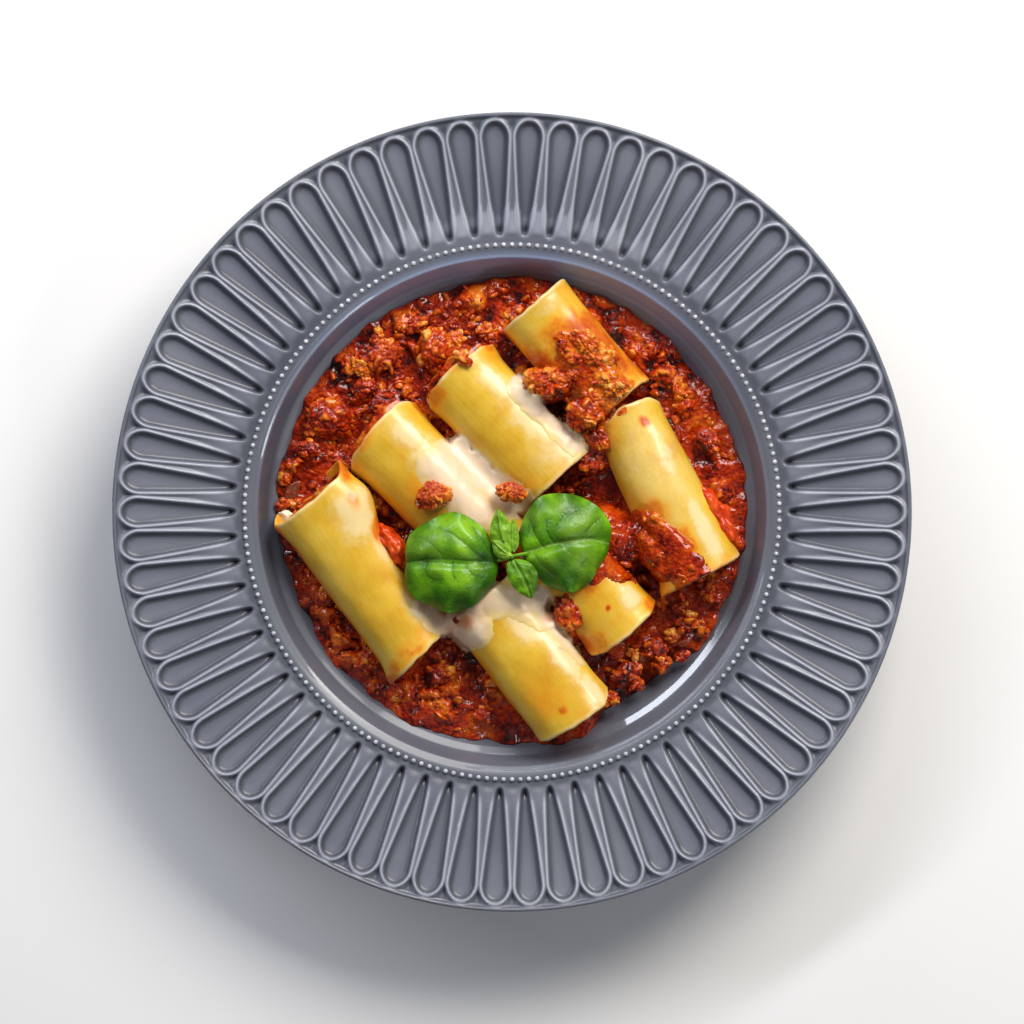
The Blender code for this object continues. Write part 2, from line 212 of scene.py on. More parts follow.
def rim_relief(aside, radius):
    """Height of the flutes over the rim's plain slope, and how thick the glaze lies there, with painted
    shade in the corners by the loops' outer ends.
    """
    d = line_distance(aside, radius)
    line = np.exp(-((d / LINE_HALF) ** 2)) * (0.25 + 0.75 * smooth(radius, 97.5, 104.0))
    hollow = smooth(-d, 0.1, 1.9)
    dish = smooth(-d, 1.0, 5.0) * 0.35
    inner_end = hollow * np.exp(-(((radius - 98.9) / 1.5) ** 2)) * 0.8
    between = smooth(d, 0.1, 1.3) * smooth(radius, 95.8, 98.5)
    between *= 1.0 - smooth(radius, 137.6, RIM_OUT_R)
    finger = smooth(d, -0.6, 2.2) * smooth(radius, 96.4, 99.0)
    finger = finger * (1.0 - smooth(radius, 101.0, 116.0))
    between *= smooth(radius, 104.0, 120.0)
    corner = smooth(d, 0.4, 1.6) * np.exp(-(((radius - 134.6) / 2.4) ** 2)) * 0.9
    lip = 0.55 * np.exp(-(((radius - 139.15) / 0.62) ** 2)) - 0.30 * np.exp(
        -(((radius - 138.1) / 0.5) ** 2)
    )
    height = LINE_RISE * line - (HOLLOW_DEPTH + dish) * hollow - inner_end
    height = height - (WEDGE_DEPTH + corner) * between + lip + 0.55 * finger
    # The corners by the loops' outer ends are painted darker as painted shade.
    thick = 0.50 - 0.48 * line - 0.08 * hollow + 0.55 * inner_end + 0.22 * corner * between
    thick = thick + 0.30 * hollow * (1.0 - smooth(-d, 0.9, 2.8)) - 0.10 * dish
    thick = thick - 0.16 * between * (1.0 - corner) - 0.35 * np.clip(lip, 0.0, 1.0) - 0.22 * finger
    thick = thick - 0.10 * smooth(-d, 1.4, 3.4) * smooth(radius, 112.0, 130.0)
    return height, np.clip(thick, 0.0, 1.0)


def rim_line(radius):
    """Height of the rim's plain slope at a radius."""
    return RIM_IN_Z + (radius - RIM_IN_R) * (RIM_OUT_Z - RIM_IN_Z) / (RIM_OUT_R - RIM_IN_R)


# One flute's wedge of the plate, from the middle of the well over the rim and back under to the
# foot. Its rows lie along the section, and its columns close in on the raised line.
well_section = [
    (0.0, 7.0), (20.0, 7.0), (42.0, 7.0), (60.0, 7.05), (68.0, 7.3), (73.0, 8.1), (76.6, 9.6),
    (79.2, 11.7), (81.2, 13.7), (82.7, 15.5), (83.2, 16.2), (83.4, 16.31), (84.4, 16.85),
    (85.4, 17.39), (85.9, 17.66), (86.1, 17.9), (86.5, 18.9), (87.2, 20.9), (88.0, 23.2),
    (88.7, 25.2), (89.2, 26.5), (89.45, 26.95), (89.7, 27.1), (90.3, 27.38), (90.6, 27.56),
    (91.2, 28.0), (92.0, 28.42), (92.9, 28.66), (93.9, 28.75),
]
under_section = [
    (140.0, 34.45), (139.9, 33.85), (139.3, 33.3), (137.0, 32.6), (128.0, 30.3), (116.0, 27.6),
    (104.0, 24.9), (96.0, 22.4), (90.5, 17.6), (85.0, 11.0), (79.0, 5.0), (71.0, 2.9),
    (65.8, 2.35), (64.6, 0.7), (63.4, 0.0), (58.6, 0.0), (57.6, 0.7), (56.4, 2.4), (30.0, 2.6),
    (0.0, 2.6),
]
rim_rows = np.concatenate(
    [
        np.linspace(RIM_IN_R, 97.0, 5),
        np.linspace(97.5, 101.5, 7),
        np.linspace(103.0, 128.5, 13),
        np.linspace(130.0, 138.0, 13),
        [138.5, 139.0, 139.45, 139.8],
    ]
)
PLAIN_COLUMNS = 4


def rim_columns(radius):
    """Places across one flute's wedge, as shares from -1 to 1 of half its width."""
    half = PITCH * radius / 2.0
    share = min(max((radius - CAP_IN_R) / (CAP_OUT_R - CAP_IN_R), 0.0), 1.0)
    loop_half = LOOP_IN_HALF + (LOOP_OUT_HALF - LOOP_IN_HALF) * share**0.75
    line = min(max(loop_half, 1.45), half - 1.0)
    if radius > CAP_OUT_R:
        rounding = math.sqrt(max(1.0 - ((radius - CAP_OUT_R) / CAP_OUT_REACH) ** 2, 0.0))
        line = min(max(LOOP_OUT_HALF * rounding, 3.0), half - 1.0)
    inner = line - 1.15
    around = [line + step for step in (-1.15, -0.72, -0.4, -0.13, 0.13, 0.4, 0.72)]
    half_row = [0.0, inner * 0.35, inner * 0.65, inner * 0.88] + around
    half_row += [(line + 0.8 + half) / 2.0, half]
    half_row = [min(x, half) for x in half_row]
    return [-x / half for x in reversed(half_row[1:])] + [x / half for x in half_row]


verts = []
thick_values = []
rows = []


def plain_row(radius, height, thick):
    """A row of evenly spaced points across the wedge."""
    row = []
    for i in range(PLAIN_COLUMNS + 1):
        angle = PITCH * (i / PLAIN_COLUMNS - 0.5)
        row.append(len(verts))
        verts.append((radius * math.cos(angle), radius * math.sin(angle), height))
        thick_values.append(thick)
    rows.append(row)


for radius, height in well_section:
    plain_row(radius, height, 0.40)
for radius in rim_rows:
    shares = np.array(rim_columns(radius))
    angles = shares * PITCH / 2.0
    relief, thick = rim_relief(radius * np.sin(angles), radius * np.ones_like(angles))
    row = []
    for angle, rise, t in zip(angles, relief, thick):
        row.append(len(verts))
        spot = (radius * math.cos(angle), radius * math.sin(angle), rim_line(radius) + rise)
        verts.append(spot)
        thick_values.append(t)
    rows.append(row)
for radius, height in under_section:
    plain_row(radius, height, 0.5)

faces = []
for near, far in zip(rows, rows[1:]):
    if len(near) == len(far):
        for i in range(len(near) - 1):
            faces.append((near[i], near[i + 1], far[i + 1], far[i]))
        continue
    few, many, turned_over = (near, far, False) if len(near) < len(far) else (far, near, True)
    step = (len(many) - 1) // (len(few) - 1)
    for i in range(len(few) - 1):
        fan = many[i * step : (i + 1) * step + 1]
        loop = [few[i], few[i + 1]] + list(reversed(fan))
        faces.append(tuple(reversed(loop)) if turned_over else tuple(loop))
faces = [tuple(reversed(face)) for face in faces]
wedge = mesh_object("plate_wedge", verts, faces, {"glaze_thickness": thick_values})
wedge_parts = bmesh.new()
wedge_parts.from_mesh(wedge.data)
bmesh.ops.triangulate(wedge_parts, faces=[f for f in wedge_parts.faces if len(f.verts) > 4])
wedge_parts.to_mesh(wedge.data)
wedge_parts.free()


def ring_tree(name):
    """Geometry Nodes: copies of one piece evenly round the plate's axis, joined into one skin."""
    made = bpy.data.node_groups.new(name, "GeometryNodeTree")
    face = made.interface
    face.new_socket("Geometry", in_out="INPUT", socket_type="NodeSocketGeometry")
    face.new_socket("Count", in_out="INPUT", socket_type="NodeSocketInt")
    face.new_socket("Ring radius", in_out="INPUT", socket_type="NodeSocketFloat")
    face.new_socket("Join distance", in_out="INPUT", socket_type="NodeSocketFloat")
    face.new_socket("Material", in_out="INPUT", socket_type="NodeSocketMaterial")
    face.new_socket("Geometry", in_out="OUTPUT", socket_type="NodeSocketGeometry")
    given = node(made, "NodeGroupInput").outputs
    index = node(made, "GeometryNodeInputIndex").outputs[0]
    turn = node(
        made,
        "ShaderNodeMath",
        links={0: index, 1: given["Count"]},
        operation="DIVIDE",
    )
    angle = node(made, "ShaderNodeMath", {1: math.tau}, {0: turn.outputs[0]}, operation="MULTIPLY")
    spin = node(made, "ShaderNodeCombineXYZ", links={"Z": angle.outputs[0]})
    start = node(made, "ShaderNodeCombineXYZ", links={"X": given["Ring radius"]})
    where = node(
        made,
        "ShaderNodeVectorRotate",
        {"Axis": (0.0, 0.0, 1.0)},
        {"Vector": start.outputs[0], "Angle": angle.outputs[0]},
    )
    points = node(
        made, "GeometryNodePoints", links={"Count": given["Count"], "Position": where.outputs[0]}
    )
    copies = node(
        made,
        "GeometryNodeInstanceOnPoints",
        links={"Points": points.outputs[0], "Instance": given["Geometry"], "Rotation": spin.outputs[0]},
    )
    real = node(made, "GeometryNodeRealizeInstances", links={0: copies.outputs[0]})
    joined = node(
        made,
        "GeometryNodeMergeByDistance",
        links={"Geometry": real.outputs[0], "Distance": given["Join distance"]},
    )
    finished = node(
        made,
        "GeometryNodeSetMaterial",
        links={"Geometry": joined.outputs[0], "Material": given["Material"]},
    )
    node(made, "NodeGroupOutput", links={0: finished.outputs[0]})
    return made


def run_tree(source, group, name, **values):
    """Runs a tree on a piece, and returns the result as one plain mesh at the origin."""
    modifier = source.modifiers.new("nodes", "NODES")
    modifier.node_group = group
    for item in group.interface.items_tree:
        key = item.name.replace(" ", "_")
        if item.item_type == "SOCKET" and item.in_out == "INPUT" and key in values:
            modifier[item.identifier] = values[key]
    seen = source.evaluated_get(bpy.context.evaluated_depsgraph_get())
    mesh = bpy.data.meshes.new_from_object(seen)
    mesh.name = name
    source.modifiers.remove(modifier)
    bpy.data.objects.remove(source)
    made = bpy.data.objects.new(name, mesh)
    bpy.context.scene.collection.objects.link(made)
    return made


around = ring_tree("set_round_the_plate")
plate = run_tree(
    wedge, around, "plate_body", Count=FLUTES, Ring_radius=0.0, Join_distance=1.2e-5, Material=glaze
)
plate.data.shade_smooth()

# The far wall and the far rim are painted lighter, and the far wall bluish, as painted light and a
# painted reflection. The wall at the left is painted darker as painted shade. The glaze pooled glassy
# on the step at the near right, and in three places along the wall's upper lip.
spots = np.empty(3 * len(plate.data.vertices), dtype=np.float32)
plate.data.vertices.foreach_get("co", spots)
spots = spots.reshape(-1, 3) * 1000.0
radius = np.hypot(spots[:, 0], spots[:, 1])
bearing = np.degrees(np.arctan2(spots[:, 1], spots[:, 0]))
upper = spots[:, 2] > 11.5 + 0.7 * (radius - 80.0)
thickness_layer = plate.data.attributes["glaze_thickness"].data
thick = np.empty(len(radius), dtype=np.float32)
thickness_layer.foreach_get("value", thick)
# Painted light and shade in the glaze's tone: lighter and bluish on the far wall, lighter on the far
# rim, darker on the wall at the left.
wall = upper * smooth(radius, 84.0, 88.0) * (1.0 - smooth(radius, 90.0, 92.4))
wall = wall * np.exp(-(((bearing - 88.0) / 48.0) ** 2))
far_rim_painted_light = upper * smooth(radius, 93.0, 97.0) * np.exp(-(((bearing - 90.0) / 34.0) ** 2))
shaded_wall = upper * smooth(radius, 84.2, 86.6) * (1.0 - smooth(radius, 88.8, 89.4))
shaded_wall = shaded_wall * np.exp(-(((np.mod(bearing, 360.0) - 165.0) / 34.0) ** 2))
thick = thick - 0.40 * wall - 0.21 * far_rim_painted_light + 0.26 * shaded_wall
thickness_layer.foreach_set("value", np.clip(thick, 0.0, 1.0).astype(np.float32))
pool = upper * smooth(radius, 82.6, 83.4) * (1.0 - smooth(radius, 85.6, 86.2))
pool = pool * smooth(bearing, -104.0, -84.0) * (1.0 - smooth(bearing, -38.0, -24.0))
lip = upper * smooth(radius, 89.3, 89.7) * (1.0 - smooth(radius, 90.4, 90.9))
left_lip = np.exp(-(((np.mod(bearing, 360.0) - 155.0) / 30.0) ** 2))
near_lip = 0.7 * np.exp(-(((np.mod(bearing, 360.0) - 221.0) / 12.0) ** 2))
right_lip = np.exp(-(((bearing - 41.0) / 9.0) ** 2))
pool = np.maximum(pool, lip * np.maximum(left_lip, np.maximum(near_lip, right_lip)))
layer = plate.data.attributes.new("pooled_glaze", "FLOAT", "POINT")
layer.data.foreach_set("value", pool.astype(np.float32))
layer = plate.data.attributes.new("thin_glaze", "FLOAT", "POINT")
layer.data.foreach_set("value", wall.astype(np.float32))
finish(plate, None, "slate_glaze", "plate")

# The beads are two hundred drops of white slip, dotted round the top of the well before firing.
BEADS = 200
BEAD_RING_R = 93.9
BEAD_HALF = 0.84
BEAD_SEAT_Z = 28.75
BEAD_SQUASH = 0.8

# Raised white slip under a clear glaze: near white, glossy, each drop with its own small highlight.
slip, tree, shader = new_material("white_slip_dots", Roughness=0.22, IOR=1.52)
place = node(tree, "ShaderNodeTexCoord").outputs["Object"]
uneven = node(tree, "ShaderNodeTexNoise", {"Scale": 420.0, "Detail": 2.0}, {"Vector": place})
tree.links.new(
    ramp(tree, uneven.outputs["Fac"], [(0.3, "#9a9da6"), (0.6, "#c9cbd1")]),
    shader.inputs["Base Color"],
)

bead_parts = bmesh.new()
bmesh.ops.create_icosphere(bead_parts, subdivisions=2, radius=mm(BEAD_HALF))
for vert in bead_parts.verts:
    vert.co.z = vert.co.z * BEAD_SQUASH + mm(BEAD_SEAT_Z)
bead_mesh = bpy.data.meshes.new("bead")
bead_parts.to_mesh(bead_mesh)
bead_parts.free()
bead = bpy.data.objects.new("bead", bead_mesh)
bpy.context.scene.collection.objects.link(bead)
beads = run_tree(
    bead,
    around,
    "plate_beads",
    Count=BEADS,
    Ring_radius=mm(BEAD_RING_R),
    Join_distance=1.0e-6,
    Material=slip,
)
beads.data.shade_smooth()
finish(beads, None, "slate_glaze")


# ---- the pasta tubes ----------------------------------------------------------------------------
# Seven cannelloni: extruded tubes of durum wheat pasta, boiled soft, about 60 mm long and 1.3 mm
# thick. They sag a little, their cut ends flare and curl, and meat sauce stains them orange.

TUBE_HIGH = 23.5
TUBE_BED = 9.3
SKIN = 1.3
TUBE_AROUND = 96
TUBE_ROWS = 84
INNER_ROWS = 40
FLARE_REACH = 4.5
MARK_R = 13.0

# The flare dies away over FLARE_REACH from the cut, and marks are measured round the tube at MARK_R.
# Each end has eight values, every 45 degrees from the tube's right side over its top and round below:
# how far its edge is drawn back, and how far it flares out. A stain or a film is: share of the length,
# angle, half length, half width round the tube, strength. The films are partly cream white sauce and
# partly painted highlights on the upper right flanks, and the long stains along the left flanks are
# painted shade. A bulge is: distance from the start, angle, half length, height. Lengths are in mm,
# angles in degrees.
TUBES = {
    "pasta_1": {
        "line": ((-72.3, 5.8), (-33.2, -50.0)),
        "widths": (29.0, 25.0),
        "lifts": (3.6, 0.0),
        "start_edge": (-3.2, 2.0, 3.4, 3.8, 3.0, -0.6, -1.8, -2.4),
        "start_flare": (1.4, 0.7, 0.2, 0.4, 1.3, 1.6, 0.2, 0.6),
        "end_edge": (3.2, 0.8, -0.8, -2.3, -2.8, -1.0, -2.0, 0.4),
        "end_flare": (0.0, 0.2, 0.3, 0.5, 1.4, 0.8, 0.0, 0.0),
        "bulge": (11.0, 12.0, 11.0, 5.2),
        "stains_and_shade": (
            (0.02, 20, 5.0, 5.0, 0.9), (0.13, 42, 5.5, 2.2, 0.7), (0.03, 175, 5.0, 5.5, 0.9),
            (0.95, 136, 3.4, 6.5, 0.70), (0.36, 15, 5.5, 4.0, 0.9), (0.58, 118, 1.3, 1.0, 0.55),
            (0.93, 104, 3.6, 5.0, 0.60), (0.97, 88, 2.6, 7.0, 0.70), (0.99, 158, 2.6, 5.0, 0.95),
            # The long stain at 170 degrees along the left flank is painted shade.
            (0.37, 30, 5.0, 3.5, 0.8), (0.45, 170, 30.0, 5.5, 0.55), (0.975, 118, 1.8, 3.5, 0.5),
            (0.18, 172, 9.0, 4.5, 0.95), (0.93, 60, 4.0, 5.0, 0.5),
        ),
        "films_and_highlights": ((0.20, 48, 12.0, 8.0, 0.85), (0.42, 38, 14.0, 3.5, 0.7), (0.80, 50, 9.0, 4.0, 0.6)),
    },
    "pasta_2": {
        "line": ((-46.0, 27.1), (-5.6, -14.2)),
        "widths": (31.0, 29.5),
        "lifts": (0.6, 0.0),
        "start_edge": (0.3, -3.5, -3.3, -1.4, 1.9, 0.5, -2.0, -0.5),
        "start_flare": (0.9, 0.3, 0.0, 0.3, 0.8, 0.6, 0.0, 0.2),
        "end_edge": (0, 0, 0, 0, 0, 0, 0, 0),
        "end_flare": (0, 0, 0, 0, 0, 0, 0, 0),
        "stains_and_shade": ((0.0, 112, 2.2, 8.0, 0.6), (0.04, 12, 4.0, 2.0, 0.9), (0.2, 2, 10.0, 2.2, 0.6),
                   # The long stain at 168 degrees along the left flank is painted shade.
                   (0.47, 106, 8.0, 7.0, 0.55), (0.40, 168, 24.0, 5.5, 0.55)),
        "films_and_highlights": ((0.15, 62, 10.0, 5.0, 0.8), (0.42, 58, 14.0, 8.0, 0.8)),
    },
    "pasta_3": {
        "line": ((-18.6, 48.1), (15.8, 11.6)),
        "widths": (29.5, 30.0),
        "lifts": (1.0, 0.4),
        "start_edge": (0.4, -1.7, -3.2, -2.0, 1.8, -3.0, -2.2, -0.5),
        "start_flare": (1.4, 0.5, 0.0, 0.2, 0.6, 1.9, 0.2, 0.4),
        "end_edge": (-0.4, 0.2, 0.5, 0.2, 0.4, 0.0, 0.0, 0.0),
        "end_flare": (0.6, 0.1, 0.0, 0.0, 0.2, 0.0, 0.0, 0.0),
        "stains_and_shade": (
            (0.03, 140, 5.5, 7.0, 0.75), (0.02, 20, 3.0, 4.0, 0.8), (0.0, 80, 2.0, 6.0, 0.5),
            # The long stain at 170 degrees along the left flank is painted shade.
            (0.90, 118, 3.0, 2.4, 0.35), (0.5, -2, 16.0, 3.0, 0.7), (0.5, 170, 24.0, 5.0, 0.5),
        ),
        "films_and_highlights": ((0.25, 60, 12.0, 4.5, 0.8), (0.55, 52, 16.0, 7.0, 0.9), (0.85, 60, 10.0, 10.0, 0.6)),
    },
    "pasta_4": {
        "line": ((7.5, 72.5), (37.4, 38.2)),
        "widths": (27.5, 27.0),
        "lifts": (3.6, 0.0),
        "start_edge": (0.2, 0.0, 0.2, 0.0, 0.0, 0.0, 0.0, 0.0),
        "start_flare": (0.3, 0.0, 0.0, 0.0, 0.3, 0.3, 0.0, 0.0),
        "end_edge": (-0.5, 0.5, 0.5, 0.5, 0.0, -0.5, -1.0, -0.5),
        "end_flare": (0.3, 0, 0, 0, 0, 0, 0, 0.2),
        "stains_and_shade": (
            (0.10, 178, 10.0, 5.0, 1.0), (0.40, 150, 13.0, 9.0, 1.0), (0.28, 92, 6.0, 9.0, 0.75),
            (0.55, 30, 20.0, 7.0, 0.8), (0.85, 10, 10.0, 9.0, 0.9), (0.30, 5, 10.0, 3.5, 0.9),
            (0.06, 150, 3.0, 3.0, 0.4), (0.50, 78, 15.0, 12.0, 1.05), (0.62, 40, 22.0, 9.0, 1.0),
            (0.85, 120, 14.0, 16.0, 1.0),
        ),
        "films_and_highlights": ((0.08, 70, 4.0, 6.0, 0.5),),
    },
    "pasta_5": {
        "line": ((40.6, 32.6), (67.2, -21.9)),
        "widths": (25.0, 29.0),
        "lifts": (0.0, 3.0),
        "start_edge": (-0.5, -3.4, -4.2, -1.0, 4.6, 2.0, 0.0, 0.0),
        "start_flare": (0.4, 0.2, 0.0, 0.0, 0.4, 0.2, 0.0, 0.0),
        "end_edge": (0.9, 0.2, 0.0, 0.0, -0.3, -0.5, -1.5, -0.5),
        "end_flare": (0.3, 0.0, 0.0, 0.2, 2.2, 0.8, 0.0, 0.0),
        "stains_and_shade": (
            (0.04, 172, 7.0, 6.0, 1.0), (0.0, 122, 3.0, 6.0, 0.6), (0.66, 184, 22.0, 7.0, 1.0),
            (0.92, 165, 9.0, 6.0, 0.8), (0.115, 68, 2.5, 2.5, 1.3), (0.75, 8, 16.0, 4.0, 0.9),
            (0.99, 60, 1.6, 8.0, 0.55), (0.30, 186, 12.0, 3.0, 0.7), (0.72, 140, 20.0, 10.0, 0.9),
            (0.60, 115, 8.0, 5.0, 0.8), (0.80, 92, 7.0, 4.0, 0.8),
            (0.03, 135, 6.0, 8.0, 0.6),
        ),
        "films_and_highlights": (
            (0.30, 62, 14.0, 4.5, 0.65), (0.78, 58, 14.0, 4.0, 0.9), (0.35, 85, 24.0, 14.0, 0.45),
        ),
    },
    "pasta_6": {
        "line": ((12.0, -8.9), (38.9, -40.6)),
        "widths": (28.5, 28.5),
        "lifts": (0.0, 0.6),
        "start_edge": (0, 0, 0, 0, 0, 0, 0, 0),
        "start_flare": (0, 0, 0, 0, 0, 0, 0, 0),
        "end_edge": (-0.3, -2.3, -2.9, -2.2, 0.0, -1.2, -1.5, -1.0),
        "end_flare": (0.5, 0.0, 0.0, 0.0, 0.8, 0.4, 0.0, 0.2),
        "stains_and_shade": (
            (0.88, 168, 6.0, 8.0, 1.0), (0.55, 175, 12.0, 4.0, 0.9), (0.74, 88, 1.25, 1.25, 1.25),
            (0.86, 92, 1.5, 4.0, 0.35), (0.36, 70, 8.0, 16.0, 0.95), (0.97, 20, 4.0, 6.0, 0.8),
            (0.62, 20, 12.0, 3.0, 0.8), (0.92, 140, 7.0, 9.0, 0.65), (0.50, 65, 4.0, 14.0, 0.8),
            (0.7, 120, 22.0, 20.0, 0.20),
        ),
        "films_and_highlights": ((0.80, 50, 6.0, 4.5, 0.9),),
    },
    "pasta_7": {
        "line": ((-10.5, -30.3), (21.9, -71.6)),
        "widths": (30.0, 29.5),
        "lifts": (0.0, 3.8),
        "start_edge": (0, 0, 0, 0, 0, 0, 0, 0),
        "start_flare": (0, 0, 0, 0, 0, 0, 0, 0),
        "end_edge": (0.8, -3.0, -2.6, -0.9, 0.6, 0.0, -0.5, 0.0),
        "end_flare": (0.6, 0.3, 0.0, 0.0, 0.2, 0.0, 0.0, 0.2),
        "stains_and_shade": (
            (0.76, 112, 9.0, 7.0, 0.5), (0.88, 98, 2.2, 2.0, 0.9), (0.30, 2, 12.0, 2.5, 0.8),
            # The long stain at 170 degrees along the left flank is painted shade.
            (0.62, 182, 16.0, 3.0, 0.5), (0.5, 170, 28.0, 5.0, 0.5),
        ),
        "films_and_highlights": ((0.30, 60, 9.0, 6.5, 1.0), (0.60, 48, 12.0, 4.6, 1.0), (0.88, 42, 7.0, 3.6, 1.0)),
    },
}

# Boiled durum wheat pasta: smooth, wet and a little translucent, warm yellow, creamy where a thin film
# of white sauce dries on it and where highlights are painted on the upper right flanks, and orange
# where oil from the meat sauce has soaked in. The orange also stands partly for painted shade along the
# left flanks and low down by the sauce.
pasta, tree, shader = new_material("boiled_pasta", Roughness=0.34, IOR=1.42)
shader.inputs["Subsurface Weight"].default_value = 0.22
shader.inputs["Subsurface Radius"].default_value = (1.0, 0.55, 0.22)
shader.inputs["Subsurface Scale"].default_value = mm(2.2)
shader.inputs["Coat Weight"].default_value = 0.35
shader.inputs["Coat Roughness"].default_value = 0.16
place = node(tree, "ShaderNodeTexCoord").outputs["Object"]
stain_and_shade = node(tree, "ShaderNodeAttribute", attribute_name="sauce_stain").outputs["Fac"]
film_and_highlight = node(tree, "ShaderNodeAttribute", attribute_name="cream_film").outputs["Fac"]
patchy = node(tree, "ShaderNodeTexNoise", {"Scale": 70.0, "Detail": 4.0}, {"Vector": place})
dough = ramp(tree, patchy.outputs["Fac"], [(0.3, "#d69e24"), (0.5, "#e3b634"), (0.7, "#ebc54e")])
fine = node(tree, "ShaderNodeTexNoise", {"Scale": 620.0, "Detail": 3.0}, {"Vector": place})
frayed = node(
    tree,
    "ShaderNodeMath",
    {1: 0.50, 2: -0.25},
    {0: fine.outputs["Fac"]},
    operation="MULTIPLY_ADD",
)


def blended(tree, factor, under, over_hex):
    """Colour over another, where the factor is 1."""
    made = node(tree, "ShaderNodeMix", {7: linear(over_hex)}, {0: factor, 6: under}, data_type="RGBA")
    return made.outputs[2]


def mapped(tree, value, low, high, to_low=0.0, to_high=1.0):
    """A value stretched from low..high to another span, kept inside it."""
    made = node(
        tree,
        "ShaderNodeMapRange",
        {1: low, 2: high, 3: to_low, 4: to_high},
        {0: value},
    )
    return made.outputs[0]


ragged_film_and_highlight = node(tree, "ShaderNodeMath", links={0: film_and_highlight, 1: frayed.outputs[0]}, operation="ADD")
# The dough was drawn through a die, so faint lighter and darker lines run along each tube.
along = node(tree, "ShaderNodeAttribute", attribute_name="along_tube").outputs["Fac"]
aside = node(tree, "ShaderNodeAttribute", attribute_name="across_tube").outputs["Fac"]
height = node(tree, "ShaderNodeSeparateXYZ", links={0: place}).outputs["Z"]
drawn = node(tree, "ShaderNodeCombineXYZ", links={"X": along, "Y": aside, "Z": height}).outputs[0]
lines = node(tree, "ShaderNodeTexNoise", {"Scale": 1300.0, "Detail": 3.0}, {"Vector": drawn})
faint_lines = ramp(
    tree, lines.outputs["Fac"], [(0.28, "#f5efe0"), (0.5, "#fcfaf5"), (0.72, "#ffffff")]
)
drawn_dough = node(
    tree,
    "ShaderNodeMix",
    {0: 1.0},
    {6: dough, 7: faint_lines},
    data_type="RGBA",
    blend_type="MULTIPLY",
).outputs[2]
# The cream mix paints both the white sauce film and the highlights on the upper right flanks.
soft_film_and_highlight = mapped(tree, ragged_film_and_highlight.outputs[0], 0.05, 1.0, 0.0, 0.55)
creamy = blended(tree, soft_film_and_highlight, drawn_dough, "#f3dfae")
thick_film_and_highlight = mapped(tree, ragged_film_and_highlight.outputs[0], 0.46, 0.66, 0.0, 0.25)
creamy = blended(tree, thick_film_and_highlight, creamy, "#f7e6c0")
ragged = node(tree, "ShaderNodeMath", links={0: stain_and_shade, 1: frayed.outputs[0]}, operation="ADD")
tinted = blended(tree, mapped(tree, ragged.outputs[0], 0.10, 0.75, 0.0, 0.88), creamy, "#ee9614")
soaked = blended(tree, mapped(tree, ragged.outputs[0], 0.52, 1.08, 0.0, 0.92), tinted, "#bf3f06")
tree.links.new(soaked, shader.inputs["Base Color"])
wrinkle = node(tree, "ShaderNodeTexNoise", {"Scale": 260.0, "Detail": 4.0}, {"Vector": place})
dimple = node(
    tree,
    "ShaderNodeBump",
    {"Strength": 0.20, "Distance": mm(0.35)},
    {"Height": wrinkle.outputs["Fac"]},
)
tree.links.new(dimple.outputs["Normal"], shader.inputs["Normal"])


def lumps(points, size, seed=0.0):
    """Even noise from -1 to 1 at points in millimetres, with lumps of about that size."""
    shift = Vector((seed, 0, 0))
    return np.array([noise.noise(Vector((x, y, z)) / size + shift) for x, y, z in points])


def edge_value(values, angle):
    """A value round a tube's end, smooth between the eight that are given."""
    place = np.mod(angle / (math.pi / 4.0), 8.0)
    low = np.floor(place).astype(int)
    t = place - low
    t = t * t * (3.0 - 2.0 * t)
    values = np.asarray(values, dtype=float)
    return values[low % 8] * (1.0 - t) + values[(low + 1) % 8] * t


def tube_frame(tube):
    """A tube's start, its length, and its directions along and across, in plan."""
    start, end = (np.array(point) for point in tube["line"])
    length = float(np.hypot(*(end - start)))
    along = (end - start) / length
    return start, length, along, np.array([-along[1], along[0]])


def tube_points(tube, share, angle, inset, bumps=True):
    """Points of a tube's skin, that far inside its outer face. 90 degrees is the top."""
    start, length, along, across = tube_frame(tube)
    back_start = edge_value(tube["start_edge"], angle)
    back_end = edge_value(tube["end_edge"], angle)
    distance = back_start + (length - back_start - back_end) * share
    width = tube["widths"][0] + share * (tube["widths"][1] - tube["widths"][0])
    lift = tube["lifts"][0] + share * (tube["lifts"][1] - tube["lifts"][0])
    high = TUBE_HIGH * (1.0 - 0.03 * np.cos(math.tau * share))
    near_start = np.exp(-(((distance - back_start) / FLARE_REACH) ** 2))
    near_end = np.exp(-(((length - back_end - distance) / FLARE_REACH) ** 2))
    out = edge_value(tube["start_flare"], angle) * near_start
    out = out + edge_value(tube["end_flare"], angle) * near_end - inset
    if "bulge" in tube:
        at, at_angle, half_long, high_out = tube["bulge"]
        turned = np.mod(angle - math.radians(at_angle) + math.pi, math.tau) - math.pi
        out = out + high_out * np.exp(-(((distance - at) / half_long) ** 2) - (turned / 0.75) ** 2)
    side, up = np.cos(angle), np.sin(angle)
    flat = 1.0 - 0.035 * smooth(up, 0.75, 1.0) * (1.0 - near_start) * (1.0 - near_end)
    plan = start + np.outer(distance, along) + np.outer((width / 2.0 + out) * side, across)
    height = TUBE_BED + TUBE_HIGH / 2.0 + lift + (high / 2.0 + out) * up * flat
    points = np.column_stack([plan, height])
    if bumps:
        seed = tube["line"][0][0]
        dents = 0.42 * lumps(points, 17.0, seed) + 0.16 * lumps(points, 6.0, seed + 9.0)
        ragged = 0.35 * lumps(points, 3.5, seed + 4.0) * (near_start + near_end)
        points[:, :2] += np.outer(dents * side, across) + np.outer(ragged, along)
        points[:, 2] += dents * up
    return points


